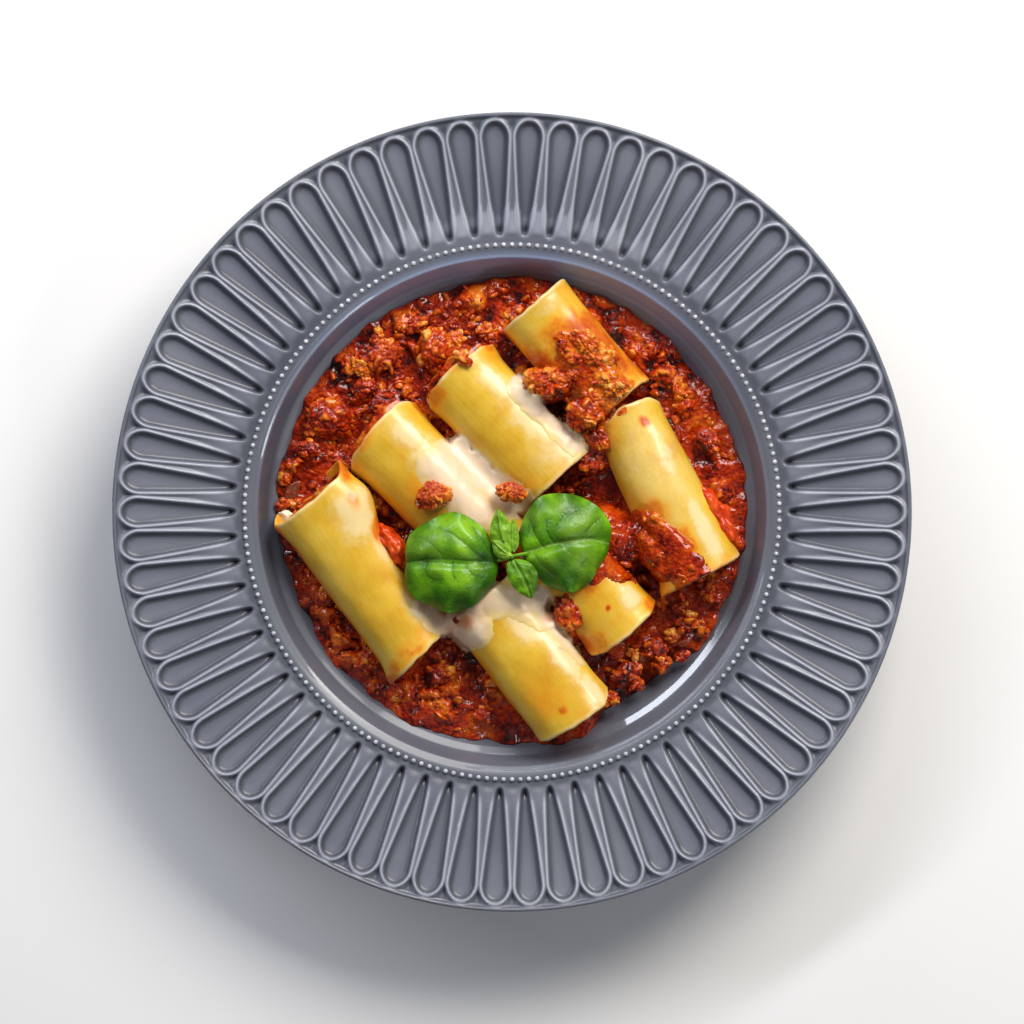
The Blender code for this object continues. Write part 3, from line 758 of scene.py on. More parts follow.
def painted(tube, marks, share, angle, points, seed):
    """How strongly a tube is marked at its points, with ragged outlines."""
    _, length, _, _ = tube_frame(tube)
    ragged = 0.30 * lumps(points, 5.0, seed) + 0.12 * lumps(points, 1.6, seed + 5.0)
    total = np.zeros(len(points))
    for at_share, at_angle, half_long, half_wide, strength in marks:
        turned = np.mod(angle - math.radians(at_angle) + math.pi, math.tau) - math.pi
        far = np.hypot((share - at_share) * length / half_long, turned * MARK_R / half_wide)
        total = np.maximum(total, strength * (1.0 - smooth(far + ragged, 0.30, 1.35)))
    return total


def tube_skin(name, tube):
    """The whole skin: outer face, rounded cut edge, inner face and the other cut edge."""
    ring_list = [(s, 0.0, 0.0) for s in np.linspace(0.0, 1.0, TUBE_ROWS)]
    ring_list += [(1.0, SKIN * d, SKIN * o) for d, o in ((0.15, 0.32), (0.5, 0.5), (0.85, 0.32))]
    ring_list += [(s, SKIN, 0.0) for s in np.linspace(1.0, 0.0, INNER_ROWS)]
    ring_list += [(0.0, SKIN * d, -SKIN * o) for d, o in ((0.85, 0.32), (0.5, 0.5), (0.15, 0.32))]
    angles = np.arange(TUBE_AROUND) * math.tau / TUBE_AROUND
    share = np.repeat([ring[0] for ring in ring_list], TUBE_AROUND)
    inset = np.repeat([ring[1] for ring in ring_list], TUBE_AROUND)
    past = np.repeat([ring[2] for ring in ring_list], TUBE_AROUND)
    angle = np.tile(angles, len(ring_list))
    points = tube_points(tube, share, angle, inset)
    start, length, along, across = tube_frame(tube)
    points[:, :2] += np.outer(past, along)
    # Films: cream white sauce, and painted highlights on the upper right flanks.
    film_and_highlight = painted(tube, tube["films_and_highlights"], share, angle, points, 31.0)
    stain_and_shade = painted(tube, tube["stains_and_shade"], share, angle, points, 57.0)
    # Low down by the sauce the stain is partly real sauce and partly painted shade and red light
    # bounced from the sauce.
    low = 1.0 - smooth(points[:, 2], 14.5, 19.5)
    stain_and_shade = np.maximum(stain_and_shade, 0.9 * low)
    inner = smooth(inset, 0.6 * SKIN, SKIN)
    lip = np.exp(-((np.minimum(share, 1.0 - share) * length / 0.9) ** 2))
    film_and_highlight = np.maximum(film_and_highlight, 0.6 * lip * (1.0 - 0.6 * smooth(stain_and_shade, 0.5, 0.9)))
    stain_and_shade = np.maximum(stain_and_shade, 0.62 * inner)
    outer = inset < 0.01
    side, up = np.cos(angle), np.sin(angle)
    raise_by = 0.14 * smooth(film_and_highlight, 0.3, 0.7) * outer
    points[:, :2] += np.outer(raise_by * side, across)
    points[:, 2] += raise_by * up
    count = len(ring_list)
    faces = []
    for r in range(count):
        here, there = r * TUBE_AROUND, (r + 1) % count * TUBE_AROUND
        for i in range(TUBE_AROUND):
            j = (i + 1) % TUBE_AROUND
            faces.append((here + i, here + j, there + j, there + i))
    marks = {
        "sauce_stain": stain_and_shade,
        "cream_film": film_and_highlight * (1.0 - inner),
        "along_tube": 0.00005 * ((points[:, :2] - start) @ along),
        "across_tube": 0.001 * ((points[:, :2] - start) @ across),
    }
    return mesh_object(name, points, faces, marks)


skins = {}
for name, tube in TUBES.items():
    skins[name] = finish(tube_skin(name + "_skin", tube), pasta, "cooked_pasta", name)


# ---- the filling --------------------------------------------------------------------------------
# Beef mince stewed thick with tomato, spooned into each tube before baking. It fills the tube from
# end to end, and its crumbly face shows, or swells a little, at the open ends.

# How far the filling stays back from each end, in mm; less than 0 stands out of the tube.
USUAL_BACK = (2.0, 2.0)
FILLING_BACK = {"pasta_1": (3.2, 1.0), "pasta_2": (-1.8, 2.0), "pasta_3": (-1.4, 2.0)}

# Stewed beef ragu: coarse crumbs of browned mince, orange-brown where they stand up out of the sauce,
# in a brick-red tomato gravy with oil on it. Wet all over, with many small highlights. In the ragu
# round the tubes and in the lumps, the gaps between the crumbs are also painted darker as painted
# shade.
ragu, tree, shader = new_material("stewed_beef_ragu", Roughness=0.42, IOR=1.38)
shader.inputs["Subsurface Weight"].default_value = 0.12
shader.inputs["Subsurface Radius"].default_value = (1.0, 0.30, 0.10)
shader.inputs["Subsurface Scale"].default_value = mm(1.2)
shader.inputs["Specular IOR Level"].default_value = 0.12
shader.inputs["Coat Weight"].default_value = 0.72
shader.inputs["Coat Roughness"].default_value = 0.06
place = node(tree, "ShaderNodeTexCoord").outputs["Object"]
crumb = node(tree, "ShaderNodeAttribute", attribute_name="crumb").outputs["Fac"]
small = node(tree, "ShaderNodeTexNoise", {"Scale": 640.0, "Detail": 5.0}, {"Vector": place})
broad = node(tree, "ShaderNodeTexNoise", {"Scale": 110.0, "Detail": 3.0}, {"Vector": place})
level = node(
    tree,
    "ShaderNodeMath",
    {1: 0.7, 2: -0.35},
    {0: small.outputs["Fac"]},
    operation="MULTIPLY_ADD",
)
level = node(tree, "ShaderNodeMath", links={0: level.outputs[0], 1: crumb}, operation="ADD")
lift = node(
    tree,
    "ShaderNodeMath",
    {1: 1.3, 2: -0.65},
    {0: broad.outputs["Fac"]},
    operation="MULTIPLY_ADD",
)
level = node(tree, "ShaderNodeMath", links={0: level.outputs[0], 1: lift.outputs[0]}, operation="ADD")
gravy = ramp(
    tree,
    level.outputs[0],
    [
        (0.00, "#300600"),
        (0.18, "#801500"),
        (0.38, "#b63200"),
        (0.58, "#c85406"),
        (0.80, "#dd7c18"),
        (1.00, "#eda648"),
    ],
)
tree.links.new(gravy, shader.inputs["Base Color"])
rough = node(tree, "ShaderNodeTexNoise", {"Scale": 1100.0, "Detail": 4.0}, {"Vector": place})
coarse = node(tree, "ShaderNodeTexVoronoi", {"Scale": 760.0}, {"Vector": place})
relief_sum = node(
    tree,
    "ShaderNodeMath",
    links={0: rough.outputs["Fac"], 1: coarse.outputs["Distance"]},
    operation="ADD",
)
grainy = node(
    tree,
    "ShaderNodeBump",
    {"Strength": 0.85, "Distance": mm(0.5)},
    {"Height": relief_sum.outputs[0]},
)
tree.links.new(grainy.outputs["Normal"], shader.inputs["Normal"])


def crumbs(points, size, seed, cluster=10.0):
    """Angular crumbs of about that size at points in mm. Gives how far each point stands up in its
    crumb, the crumb's own number, and how much meat lies round it, all from 0 to 1."""
    bend = np.column_stack([lumps(points, 0.75 * size, seed + k) for k in (3.0, 6.0, 9.0)])
    shift = Vector((seed, 0, 0))
    stand, own, meat = [], [], []
    for x, y, z in points + 0.42 * size * bend:
        reach, spots = noise.voronoi(Vector((x, y, z)) / size + shift)
        stand.append(min((reach[1] - reach[0]) / 0.42, 1.0))
        centre = (spots[0] - shift) * size
        own.append(0.5 + 0.5 * noise.cell(spots[0] * 19.7))
        meat.append(noise.noise(centre / cluster + Vector((0, 0, seed))))
    own = np.array(own)
    return np.array(stand) ** 0.6, own, smooth(np.array(meat) + 0.5 * (own - 0.5), -0.12, 0.16)


def filling_plug(name, tube, back):
    """A plug of mince in one tube, with lumpy faces."""
    _, length, along, _ = tube_frame(tube)
    around_count, cap_rings = 64, 14
    angles = np.arange(around_count) * math.tau / around_count
    first, last = back[0] / length, 1.0 - back[1] / length
    gap = SKIN + 0.35
    half = TUBE_HIGH / 2.0
    ring_list = [(first, half * (1.0 - r / cap_rings)) for r in range(cap_rings)]
    ring_list += [(s, gap) for s in np.linspace(first, last, 36)]
    ring_list += [(last, half * (1.0 - r / cap_rings)) for r in range(cap_rings - 1, -1, -1)]
    share = np.repeat([ring[0] for ring in ring_list], around_count)
    inset = np.maximum(np.repeat([ring[1] for ring in ring_list], around_count), gap)
    angle = np.tile(angles, len(ring_list))
    centre_mix = np.clip((inset - gap) / (half - gap), 0.0, 1.0)
    skin = tube_points(tube, share, angle, gap, False)
    middle = np.repeat(skin.reshape(len(ring_list), around_count, 3).mean(axis=1), around_count, 0)
    points = skin * (1.0 - centre_mix[:, None]) + middle * centre_mix[:, None]
    stand, own, _ = crumbs(points, 3.4, 7.0)
    end_share = smooth(np.abs(share - 0.5), 0.40, 0.5)
    out = np.where(share < 0.5, -1.0, 1.0) * end_share
    dome = 1.8 * np.sqrt(np.clip(centre_mix, 0.0, 1.0))
    swell = 1.1 * stand * (0.4 + own) + 1.3 * lumps(points, 7.0, 3.0) + dome
    points[:, :2] += np.outer(out * swell, along)
    points[:, 2] += end_share * 0.6 * lumps(points, 3.0, 12.0)
    faces = []
    for r in range(len(ring_list) - 1):
        here, there = r * around_count, (r + 1) * around_count
        for i in range(around_count):
            j = (i + 1) % around_count
            faces.append((here + i, here + j, there + j, there + i))
    tips = [points[:around_count].mean(axis=0), points[-around_count:].mean(axis=0)]
    points = list(points) + tips
    first_tip, last_tip = len(points) - 2, len(points) - 1
    end = (len(ring_list) - 1) * around_count
    for i in range(around_count):
        j = (i + 1) % around_count
        faces.append((first_tip, j, i))
        faces.append((last_tip, end + i, end + j))
    shade = np.append(0.15 + 0.50 * stand * (0.5 + own), [0.5, 0.5])
    return mesh_object(name, points, faces, {"crumb": shade})


for name, tube in TUBES.items():
    number = name[-1]
    back = FILLING_BACK.get(name, USUAL_BACK)
    plug = filling_plug("filling_mince_" + number, tube, back)
    finish(plug, ragu, "filling", "filling_" + number)


# ---- the ragu -----------------------------------------------------------------------------------
# The same beef ragu, ladled round the tubes to about 10 mm deep and heaped over three of them. It
# meets the well's wall in an uneven line, with loose crumbs of mince lying all over it.

RAGU_LEVEL = 17.2
RAGU_GRID = 306
# Heaps: centre, full size, degrees turned, in mm, and how much of it is mince rather than sauce.
HEAPS = (
    ((14.5, 45.0, 27.0), (21.0, 13.0, 16.0), 6.0, 1.0),
    ((27.0, 27.0, 18.0), (27.0, 19.0, 19.0), -50.0, 0.8),
    ((26.5, 34.5, 23.0), (18.0, 14.0, 17.0), 20.0, 0.9),
    ((52.0, -15.5, 23.5), (33.0, 13.0, 20.5), -52.0, 0.35),
    ((36.0, -8.5, 21.0), (26.0, 20.0, 19.0), -30.0, 0.15),
    ((17.0, -38.0, 19.0), (20.0, 10.0, 14.0), -50.0, 0.7),
    ((17.5, -30.0, 19.0), (16.0, 11.0, 15.0), -50.0, 0.7),
)
# Where it lies thinly over a tube: centre, full size, degrees turned, thickness, share of mince,
# and how much lighter the oil makes it.
COVERS = (
    ((28.0, 49.0), (36.0, 22.0), -50.0, 1.4, 0.30, 0.34),
    ((20.0, 59.0), (13.0, 9.0), -35.0, 0.9, 0.30, 0.34),
    ((53.5, -13.0), (42.0, 17.0), -47.0, 1.6, 0.2, 0.06),
    ((62.0, -21.5), (13.0, 15.0), -30.0, 1.9, 0.6, 0.10),
    ((29.0, -13.0), (28.0, 25.0), -15.0, 1.8, 0.1, 0.03),
    ((37.0, -18.0), (24.0, 15.0), -12.0, 1.6, 0.15, 0.08),
)

tube_tree = []
for skin in skins.values():
    made = bmesh.new()
    made.from_mesh(skin.data)
    tube_tree.append(BVHTree.FromBMesh(made))
    made.free()
DOWN = Vector((0.0, 0.0, -1.0))
ABOVE_ALL = mm(80.0)


def drop(trees, x, y, nothing=-1.0):
    """Height in mm of the highest surface under a point in plan."""
    best = nothing
    for tree_of_faces in trees:
        hit = tree_of_faces.ray_cast(Vector((mm(x), mm(y), ABOVE_ALL)), DOWN)[0]
        if hit is not None:
            best = max(best, hit.z * 1000.0)
    return best


def well_height(radius):
    """Height of the plate's well at a radius."""
    section = np.array(well_section)
    return np.interp(radius, section[:, 0], section[:, 1])


side = np.linspace(-1.0, 1.0, RAGU_GRID)
square_x, square_y = np.meshgrid(side, side)
disc_x = (square_x * np.sqrt(1.0 - square_y**2 / 2.0)).ravel()
disc_y = (square_y * np.sqrt(1.0 - square_x**2 / 2.0)).ravel()
rho = np.clip(np.hypot(disc_x, disc_y), 1e-9, 1.0)
theta_points = np.column_stack([disc_x / rho, disc_y / rho, np.full(len(rho), 3.0)])
shore = 82.0 + 2.4 * lumps(theta_points, 0.45) + 1.3 * lumps(theta_points, 0.12, 4.0)
bearing = np.degrees(np.arctan2(disc_y, disc_x))
shore = shore - 10.5 * np.exp(-(((bearing + 57.0) / 9.0) ** 2))
shore = shore - 3.5 * np.exp(-(((bearing + 44.0) / 5.0) ** 2))
shore = np.minimum(shore + 0.9 * lumps(theta_points, 0.045, 8.0), 84.0)
far = rho * (79.0 + (shore - 79.0) * rho**6)
flat = np.column_stack([far * disc_x / rho, far * disc_y / rho, np.zeros(len(rho))])

top = RAGU_LEVEL + 1.0 * lumps(flat, 24.0, 5.0) + 0.5 * lumps(flat, 9.0, 15.0)
top = top - 1.6 * smooth(-lumps(flat, 15.0, 9.0), 0.1, 0.6)
mince_share = smooth(lumps(flat, 30.0, 41.0) + 0.004 * (flat[:, 1] - flat[:, 0]), -0.45, 0.2)
for (cx, cy, cz), (sx, sy, sz), turned, mince in HEAPS:
    cos, sin = math.cos(math.radians(turned)), math.sin(math.radians(turned))
    u = (flat[:, 0] - cx) * cos + (flat[:, 1] - cy) * sin
    v = -(flat[:, 0] - cx) * sin + (flat[:, 1] - cy) * cos
    q = np.hypot(2.0 * u / sx, 2.0 * v / sy) + 0.20 * lumps(flat, 5.0, cx)
    dome = cz + sz / 2.0 * np.sqrt(np.clip(1.0 - q**2, 0.0, 1.0)) - 14.0 * smooth(q, 0.92, 1.25)
    inside = 1.0 - smooth(q, 0.85, 1.1)
    mince_share = mince_share * (1.0 - inside) + mince * inside
    blend = np.clip(0.5 + 0.5 * (dome - top) / 2.0, 0.0, 1.0)
    top = top * (1.0 - blend) + dome * blend + 2.0 * blend * (1.0 - blend)
big_stand, big_own, big_meat = crumbs(flat, 8.6, 1.0, 15.0)
mid_stand, mid_own, mid_meat = crumbs(flat, 3.0, 11.0, 9.0)
fine_stand, _, fine_meat = crumbs(flat, 1.5, 21.0, 7.0)
big = big_meat * mince_share * big_stand
mid = (0.25 + 0.75 * mid_meat) * (0.3 + 0.7 * mince_share) * mid_stand
fine = (0.35 + 0.65 * fine_meat) * fine_stand
relief = 3.4 * big * (0.35 + big_own) + 1.0 * mid * (0.3 + mid_own) + 0.40 * fine
at_shore = smooth(shore - far, 0.0, 7.0)
wall = well_height(shore) + 0.15
top = (top + relief - 1.3) * at_shore + (wall + 0.5 * relief * smooth(shore - far, 0.0, 1.5)) * (
    1.0 - at_shore
)
top = np.maximum(top, well_height(far) + 0.12)
tube_tops = np.array([drop(tube_tree, x, y) for x, y in flat[:, :2]])
rough_share = np.clip(relief / 3.2, 0.0, 1.0)
oily = np.zeros(len(top))
for (cx, cy), (sx, sy), turned, thickness, mince, lighter in COVERS:
    cos, sin = math.cos(math.radians(turned)), math.sin(math.radians(turned))
    u = (flat[:, 0] - cx) * cos + (flat[:, 1] - cy) * sin
    v = -(flat[:, 0] - cx) * sin + (flat[:, 1] - cy) * cos
    q = np.hypot(2.0 * u / sx, 2.0 * v / sy) + 0.26 * lumps(flat, 6.0, cy)
    q = q + 0.07 * lumps(flat, 2.5, cx)
    cover = (1.0 - smooth(q, 0.55, 1.05)) * (tube_tops > 0.0)
    grit = (1.0 - mince) * 0.55 + mince * (2.0 * rough_share - 0.42)
    laid = tube_tops + thickness * cover * (0.10 + (0.15 + grit) * smooth(cover, 0.25, 0.8))
    laid = laid - 2.5 * (1.0 - smooth(cover, 0.0, 0.16))
    thin_edge = 0.26 * (1.0 - smooth(cover, 0.05, 0.55))
    oily = np.where((laid > top) & (cover > 0.01), lighter + thin_edge, oily)
    top = np.where(cover > 0.01, np.maximum(top, laid), top)
    mince_share = mince_share * (1.0 - cover) + mince * cover
crumb_tone_and_gap_shade = 0.20 + 0.62 * big * (big_own - 0.12) + 0.38 * mid * (mid_own - 0.2) + 0.08 * fine
# The low gaps between the crumbs are painted darker as painted shade.
crumb_tone_and_gap_shade = crumb_tone_and_gap_shade - 0.20 * (1.0 - mid_stand) * mid_meat + 0.10 * (1.0 - mince_share)
crumb_tone_and_gap_shade = crumb_tone_and_gap_shade - 0.16 * (1.0 - big_stand) * big_meat * mince_share
crumb_tone_and_gap_shade = np.clip(crumb_tone_and_gap_shade + oily, 0.0, 1.0)

verts = [(x, y, z) for (x, y), z in zip(flat[:, :2], top)]
values = list(crumb_tone_and_gap_shade)
faces = []
for j in range(RAGU_GRID - 1):
    for i in range(RAGU_GRID - 1):
        a = j * RAGU_GRID + i
        faces.append((a, a + 1, a + RAGU_GRID + 1, a + RAGU_GRID))
wide = RAGU_GRID
border = list(range(wide)) + [j * wide + wide - 1 for j in range(1, wide)]
border += [wide * (wide - 1) + i for i in range(wide - 2, -1, -1)]
border += [j * wide for j in range(wide - 2, 0, -1)]
ring = border
for radius in (77.5, 70.0):
    fresh = []
    for b in border:
        bearing = math.atan2(verts[b][1], verts[b][0])
        fresh.append(len(verts))
        spot = (radius * math.cos(bearing), radius * math.sin(bearing))
        verts.append((*spot, float(well_height(radius)) + 0.10))
        values.append(0.2)
    for k in range(len(border)):
        m = (k + 1) % len(border)
        faces.append((ring[m], ring[k], fresh[k], fresh[m]))
    ring = fresh
faces.append(tuple(reversed(ring)))
ragu_bed = mesh_object("ragu_bed", verts, faces, {"crumb": values})
finish(ragu_bed, ragu, "ragu", "ragu")

# Crumbs of mince lie loose on the sauce. Each kind is a few rough shapes, strewn at random over
# what shows of the ragu, half sunk in it.
open_sauce = smooth(top - tube_tops, -0.2, 0.6) * smooth(shore - far, 1.2, 3.2)
lay = open_sauce * (0.12 + 0.88 * mince_share) * (0.2 + 0.8 * mid_meat)


def rough_crumb(name, corners, cuts, stretch, seed):
    """An angular crumb about 1 mm across: the hull of a few random points, softened."""
    dice = random.Random(seed)
    made = bmesh.new()
    for _ in range(corners):
        spot = Vector((dice.gauss(0, 1), dice.gauss(0, 1), dice.gauss(0, 1))).normalized()
        spot = spot * dice.uniform(0.36, 0.54)
        made.verts.new((spot.x * stretch[0], spot.y * stretch[1], spot.z * stretch[2]))
    hull = bmesh.ops.convex_hull(made, input=made.verts)
    spare = [v for v in hull["geom_interior"] if isinstance(v, bmesh.types.BMVert)]
    bmesh.ops.delete(made, geom=spare, context="VERTS")
    if cuts:
        bmesh.ops.subdivide_edges(made, edges=made.edges, cuts=cuts, use_grid_fill=True)
        for _ in range(2):
            bmesh.ops.smooth_vert(
                made, verts=made.verts, factor=0.5, use_axis_x=True, use_axis_y=True, use_axis_z=True
            )
        for vert in made.verts:
            vert.co += vert.co * (0.2 + 0.45 * noise.noise(vert.co * 5.0 + Vector((seed, 0, 0))))
    bmesh.ops.recalc_face_normals(made, faces=made.faces)
    mesh = bpy.data.meshes.new(name)
    made.to_mesh(mesh)
    made.free()
    mesh.shade_smooth()
    layer = mesh.attributes.new("crumb", "FLOAT", "POINT")
    tall = [0.34 + 0.50 * vert.co.z for vert in mesh.vertices]
    layer.data.foreach_set("value", np.clip(tall, 0.0, 1.0).astype(np.float32))
    return bpy.data.objects.new(name, mesh)


SHAPE_COUNT = 6


def strew_tree(name):
    """Geometry Nodes: shapes from a collection strewn on a surface, joined into one mesh."""
    made = bpy.data.node_groups.new(name, "GeometryNodeTree")
    face = made.interface
    face.new_socket("Geometry", in_out="INPUT", socket_type="NodeSocketGeometry")
    face.new_socket("Per square metre", in_out="INPUT", socket_type="NodeSocketFloat")
    face.new_socket("Smallest", in_out="INPUT", socket_type="NodeSocketFloat")
    face.new_socket("Largest", in_out="INPUT", socket_type="NodeSocketFloat")
    face.new_socket("Seed", in_out="INPUT", socket_type="NodeSocketInt")
    face.new_socket("Shapes", in_out="INPUT", socket_type="NodeSocketCollection")
    face.new_socket("Material", in_out="INPUT", socket_type="NodeSocketMaterial")
    face.new_socket("Geometry", in_out="OUTPUT", socket_type="NodeSocketGeometry")
    given = node(made, "NodeGroupInput").outputs
    spread = node(made, "GeometryNodeInputNamedAttribute", {"Name": "lay"}, data_type="FLOAT")
    density = node(
        made,
        "ShaderNodeMath",
        links={0: spread.outputs[0], 1: given["Per square metre"]},
        operation="MULTIPLY",
    )
    points = node(
        made,
        "GeometryNodeDistributePointsOnFaces",
        links={"Mesh": given["Geometry"], "Density": density.outputs[0], "Seed": given["Seed"]},
    )
    shapes = node(
        made,
        "GeometryNodeCollectionInfo",
        {"Separate Children": True, "Reset Children": True},
        {"Collection": given["Shapes"]},
    )
    turn = node(
        made,
        "FunctionNodeRandomValue",
        {0: (0.0, 0.0, 0.0), 1: (0.6, 0.6, math.tau)},
        {"Seed": given["Seed"]},
        data_type="FLOAT_VECTOR",
    )
    size = node(
        made,
        "FunctionNodeRandomValue",
        links={2: given["Smallest"], 3: given["Largest"], "Seed": given["Seed"]},
        data_type="FLOAT",
    )
    pick = node(
        made,
        "FunctionNodeRandomValue",
        {4: 0, 5: SHAPE_COUNT - 1},
        {"Seed": given["Seed"]},
        data_type="INT",
    )
    tone = node(
        made,
        "FunctionNodeRandomValue",
        {2: 0.40, 3: 1.50},
        {"Seed": given["Seed"]},
        data_type="FLOAT",
    )
    copies = node(
        made,
        "GeometryNodeInstanceOnPoints",
        {"Pick Instance": True},
        {
            "Points": points.outputs["Points"],
            "Instance": shapes.outputs[0],
            "Instance Index": pick.outputs[2],
            "Rotation": turn.outputs[0],
            "Scale": size.outputs[1],
        },
    )
    toned = node(
        made,
        "GeometryNodeStoreNamedAttribute",
        {"Name": "tone"},
        {"Geometry": copies.outputs[0], "Value": tone.outputs[1]},
        data_type="FLOAT",
        domain="INSTANCE",
    )
    real = node(made, "GeometryNodeRealizeInstances", links={0: toned.outputs[0]})
    own = node(made, "GeometryNodeInputNamedAttribute", {"Name": "crumb"}, data_type="FLOAT")
    given_tone = node(made, "GeometryNodeInputNamedAttribute", {"Name": "tone"}, data_type="FLOAT")
    shade = node(
        made,
        "ShaderNodeMath",
        links={0: own.outputs[0], 1: given_tone.outputs[0]},
        operation="MULTIPLY",
    )
    shaded = node(
        made,
        "GeometryNodeStoreNamedAttribute",
        {"Name": "crumb"},
        {"Geometry": real.outputs[0], "Value": shade.outputs[0]},
        data_type="FLOAT",
        domain="POINT",
    )
    finished = node(
        made,
        "GeometryNodeSetMaterial",
        links={"Geometry": shaded.outputs[0], "Material": given["Material"]},
    )
    node(made, "NodeGroupOutput", links={0: finished.outputs[0]})
    return made


def shape_set(name, corners, cuts, flatness, seed):
    """A few rough shapes in a collection of their own."""
    made = bpy.data.collections.new(name)
    dice = random.Random(seed)
    for i in range(SHAPE_COUNT):
        long, wide = dice.uniform(0.9, 1.5), dice.uniform(0.7, 1.1)
        stretch = (long, wide, flatness * dice.uniform(0.7, 1.1))
        made.objects.link(rough_crumb(f"{name}_{i}", corners, cuts, stretch, seed + i * 7.0))
    return made


strew = strew_tree("strew_over_the_sauce")
sauce_faces = [face for face in faces if max(face) < RAGU_GRID * RAGU_GRID]
KINDS = (
    # name, corners, cuts, flatness, per square metre, smallest, largest, seed
    ("mince_crumbs", 13, 1, 0.85, 0.6e5, 1.8, 5.0, 3),
    ("fine_mince_crumbs", 12, 0, 0.9, 1.5e5, 0.7, 1.7, 17),
)
for kind, corners, cuts, flatness, number, smallest, largest, seed in KINDS:
    sauce_top = mesh_object("sauce_top", verts[: RAGU_GRID**2], sauce_faces, {"lay": lay})
    strewn = run_tree(
        sauce_top,
        strew,
        kind,
        Per_square_metre=number,
        Smallest=mm(smallest),
        Largest=mm(largest),
        Seed=seed,
        Shapes=shape_set(kind + "_shapes", corners, cuts, flatness, seed),
        Material=ragu,
    )
    finish(strewn, None, "browned_mince")


# ---- the white sauce ----------------------------------------------------------------------------
# Bechamel, milk thickened with flour and butter, spooned over the middle of the dish. It lies
# about 1 mm thick on the tubes, fills the valleys between them, and thins out to a rounded edge.

WHITE_GRID = 0.5
# Pours: from, to, radius and thickness, in mm.
POURS = (
    ((-26.0, 15.5), (-12.0, 0.5), 9.0, 1.1),
    ((-24.0, 20.5), (-17.0, 12.0), 6.5, 0.8),
    ((-18.5, 22.0), (-4.0, 6.5), 6.0, 1.0),
    ((-12.0, 13.0), (2.0, 3.0), 7.5, 0.9),
    ((2.0, 44.0), (8.5, 36.5), 5.0, 0.9),
    ((6.0, 38.5), (19.0, 25.5), 4.6, 0.6),
    ((17.0, 27.0), (23.0, 22.5), 5.0, 0.45),
    ((-17.5, -38.0), (-14.5, -41.0), 9.0, 1.5),
    ((-31.0, -33.5), (-25.0, -40.0), 5.4, 1.2),
    ((-12.0, -31.0), (8.0, -31.0), 7.5, 0.9),
    ((-20.0, -30.0), (-14.0, -34.0), 7.5, 1.2),
    ((5.0, -36.0), (14.0, -39.0), 4.6, 0.5),
    ((13.0, -39.0), (22.0, -50.0), 3.4, 0.35),
    ((22.0, -50.0), (29.5, -61.0), 2.6, 0.3),
)

# Meat juice has run into the pour in places, and one wide faint patch beside the left leaf is painted
# warm light in its shade: centre, reach, strength.
JUICE_STAINS_AND_WARM_LIGHT = (
    # The wide faint patch at (-21, -36) is painted warm light, not juice.
    (-16.5, -38.5, 4.6, 0.8), (-26.0, -46.8, 4.0, 0.85), (-31.0, -33.0, 3.2, 0.4),
    (13.5, -37.0, 3.2, 0.6), (-21.0, -36.0, 13.0, 0.22), (-22.0, -41.5, 2.4, 0.5),
)

# Bechamel: cream white, softly translucent and satin wet, beige where it is thin over the meat.
bechamel, tree, shader = new_material("bechamel", Roughness=0.36, IOR=1.42)
shader.inputs["Subsurface Weight"].default_value = 0.35
shader.inputs["Subsurface Radius"].default_value = (1.0, 0.75, 0.5)
shader.inputs["Subsurface Scale"].default_value = mm(2.5)
shader.inputs["Coat Weight"].default_value = 0.25
shader.inputs["Coat Roughness"].default_value = 0.2
place = node(tree, "ShaderNodeTexCoord").outputs["Object"]
depth = node(tree, "ShaderNodeAttribute", attribute_name="depth").outputs["Fac"]
curdle = node(tree, "ShaderNodeTexNoise", {"Scale": 150.0, "Detail": 4.0}, {"Vector": place})
mixed = node(
    tree,
    "ShaderNodeMath",
    {1: 0.4, 2: -0.2},
    {0: curdle.outputs["Fac"]},
    operation="MULTIPLY_ADD",
)
mixed = node(tree, "ShaderNodeMath", links={0: mixed.outputs[0], 1: depth}, operation="ADD")
creamy = ramp(
    tree,
    mixed.outputs[0],
    [(0.0, "#ebc874"), (0.22, "#e8c88c"), (0.5, "#e8caa4"), (0.9, "#e8d0b2")],
)
# Meat juice tints it brown, and the same tint paints warm light into the shade beside the left leaf.
juice_and_warm_light = node(tree, "ShaderNodeAttribute", attribute_name="juice_and_warm_light").outputs["Fac"]
juiced_and_warmed = blended(tree, juice_and_warm_light, creamy, "#cc7a42")
tree.links.new(juiced_and_warmed, shader.inputs["Base Color"])
soft = node(
    tree,
    "ShaderNodeBump",
    {"Strength": 0.18, "Distance": mm(0.5)},
    {"Height": curdle.outputs["Fac"]},
)
tree.links.new(soft.outputs["Normal"], shader.inputs["Normal"])

bed_parts = bmesh.new()
bed_parts.from_mesh(ragu_bed.data)
under_trees = tube_tree + [BVHTree.FromBMesh(bed_parts)]
bed_parts.free()
across_line = np.arange(-40.0, 56.0, WHITE_GRID)
up_line = np.arange(-54.0, 54.0, WHITE_GRID)
plan_x, plan_y = np.meshgrid(across_line, up_line)
plan = np.column_stack([plan_x.ravel(), plan_y.ravel(), np.zeros(plan_x.size)])
wobble = 1.2 * lumps(plan, 6.0, 3.0) + 0.7 * lumps(plan, 2.6, 8.0)
thick = np.zeros(len(plan))
for start, end, radius, deep in POURS:
    start, end = np.array(start), np.array(end)
    share = np.clip(((plan[:, :2] - start) @ (end - start)) / ((end - start) @ (end - start)), 0, 1)
    away = np.hypot(*(plan[:, :2] - (start + np.outer(share, end - start))).T) + wobble
    thick = np.maximum(thick, deep * (1.0 - smooth(away, 0.1 * radius, radius)) ** 0.9)
thick = thick.reshape(plan_x.shape)
wanted = thick > 0.02
near = wanted.copy()
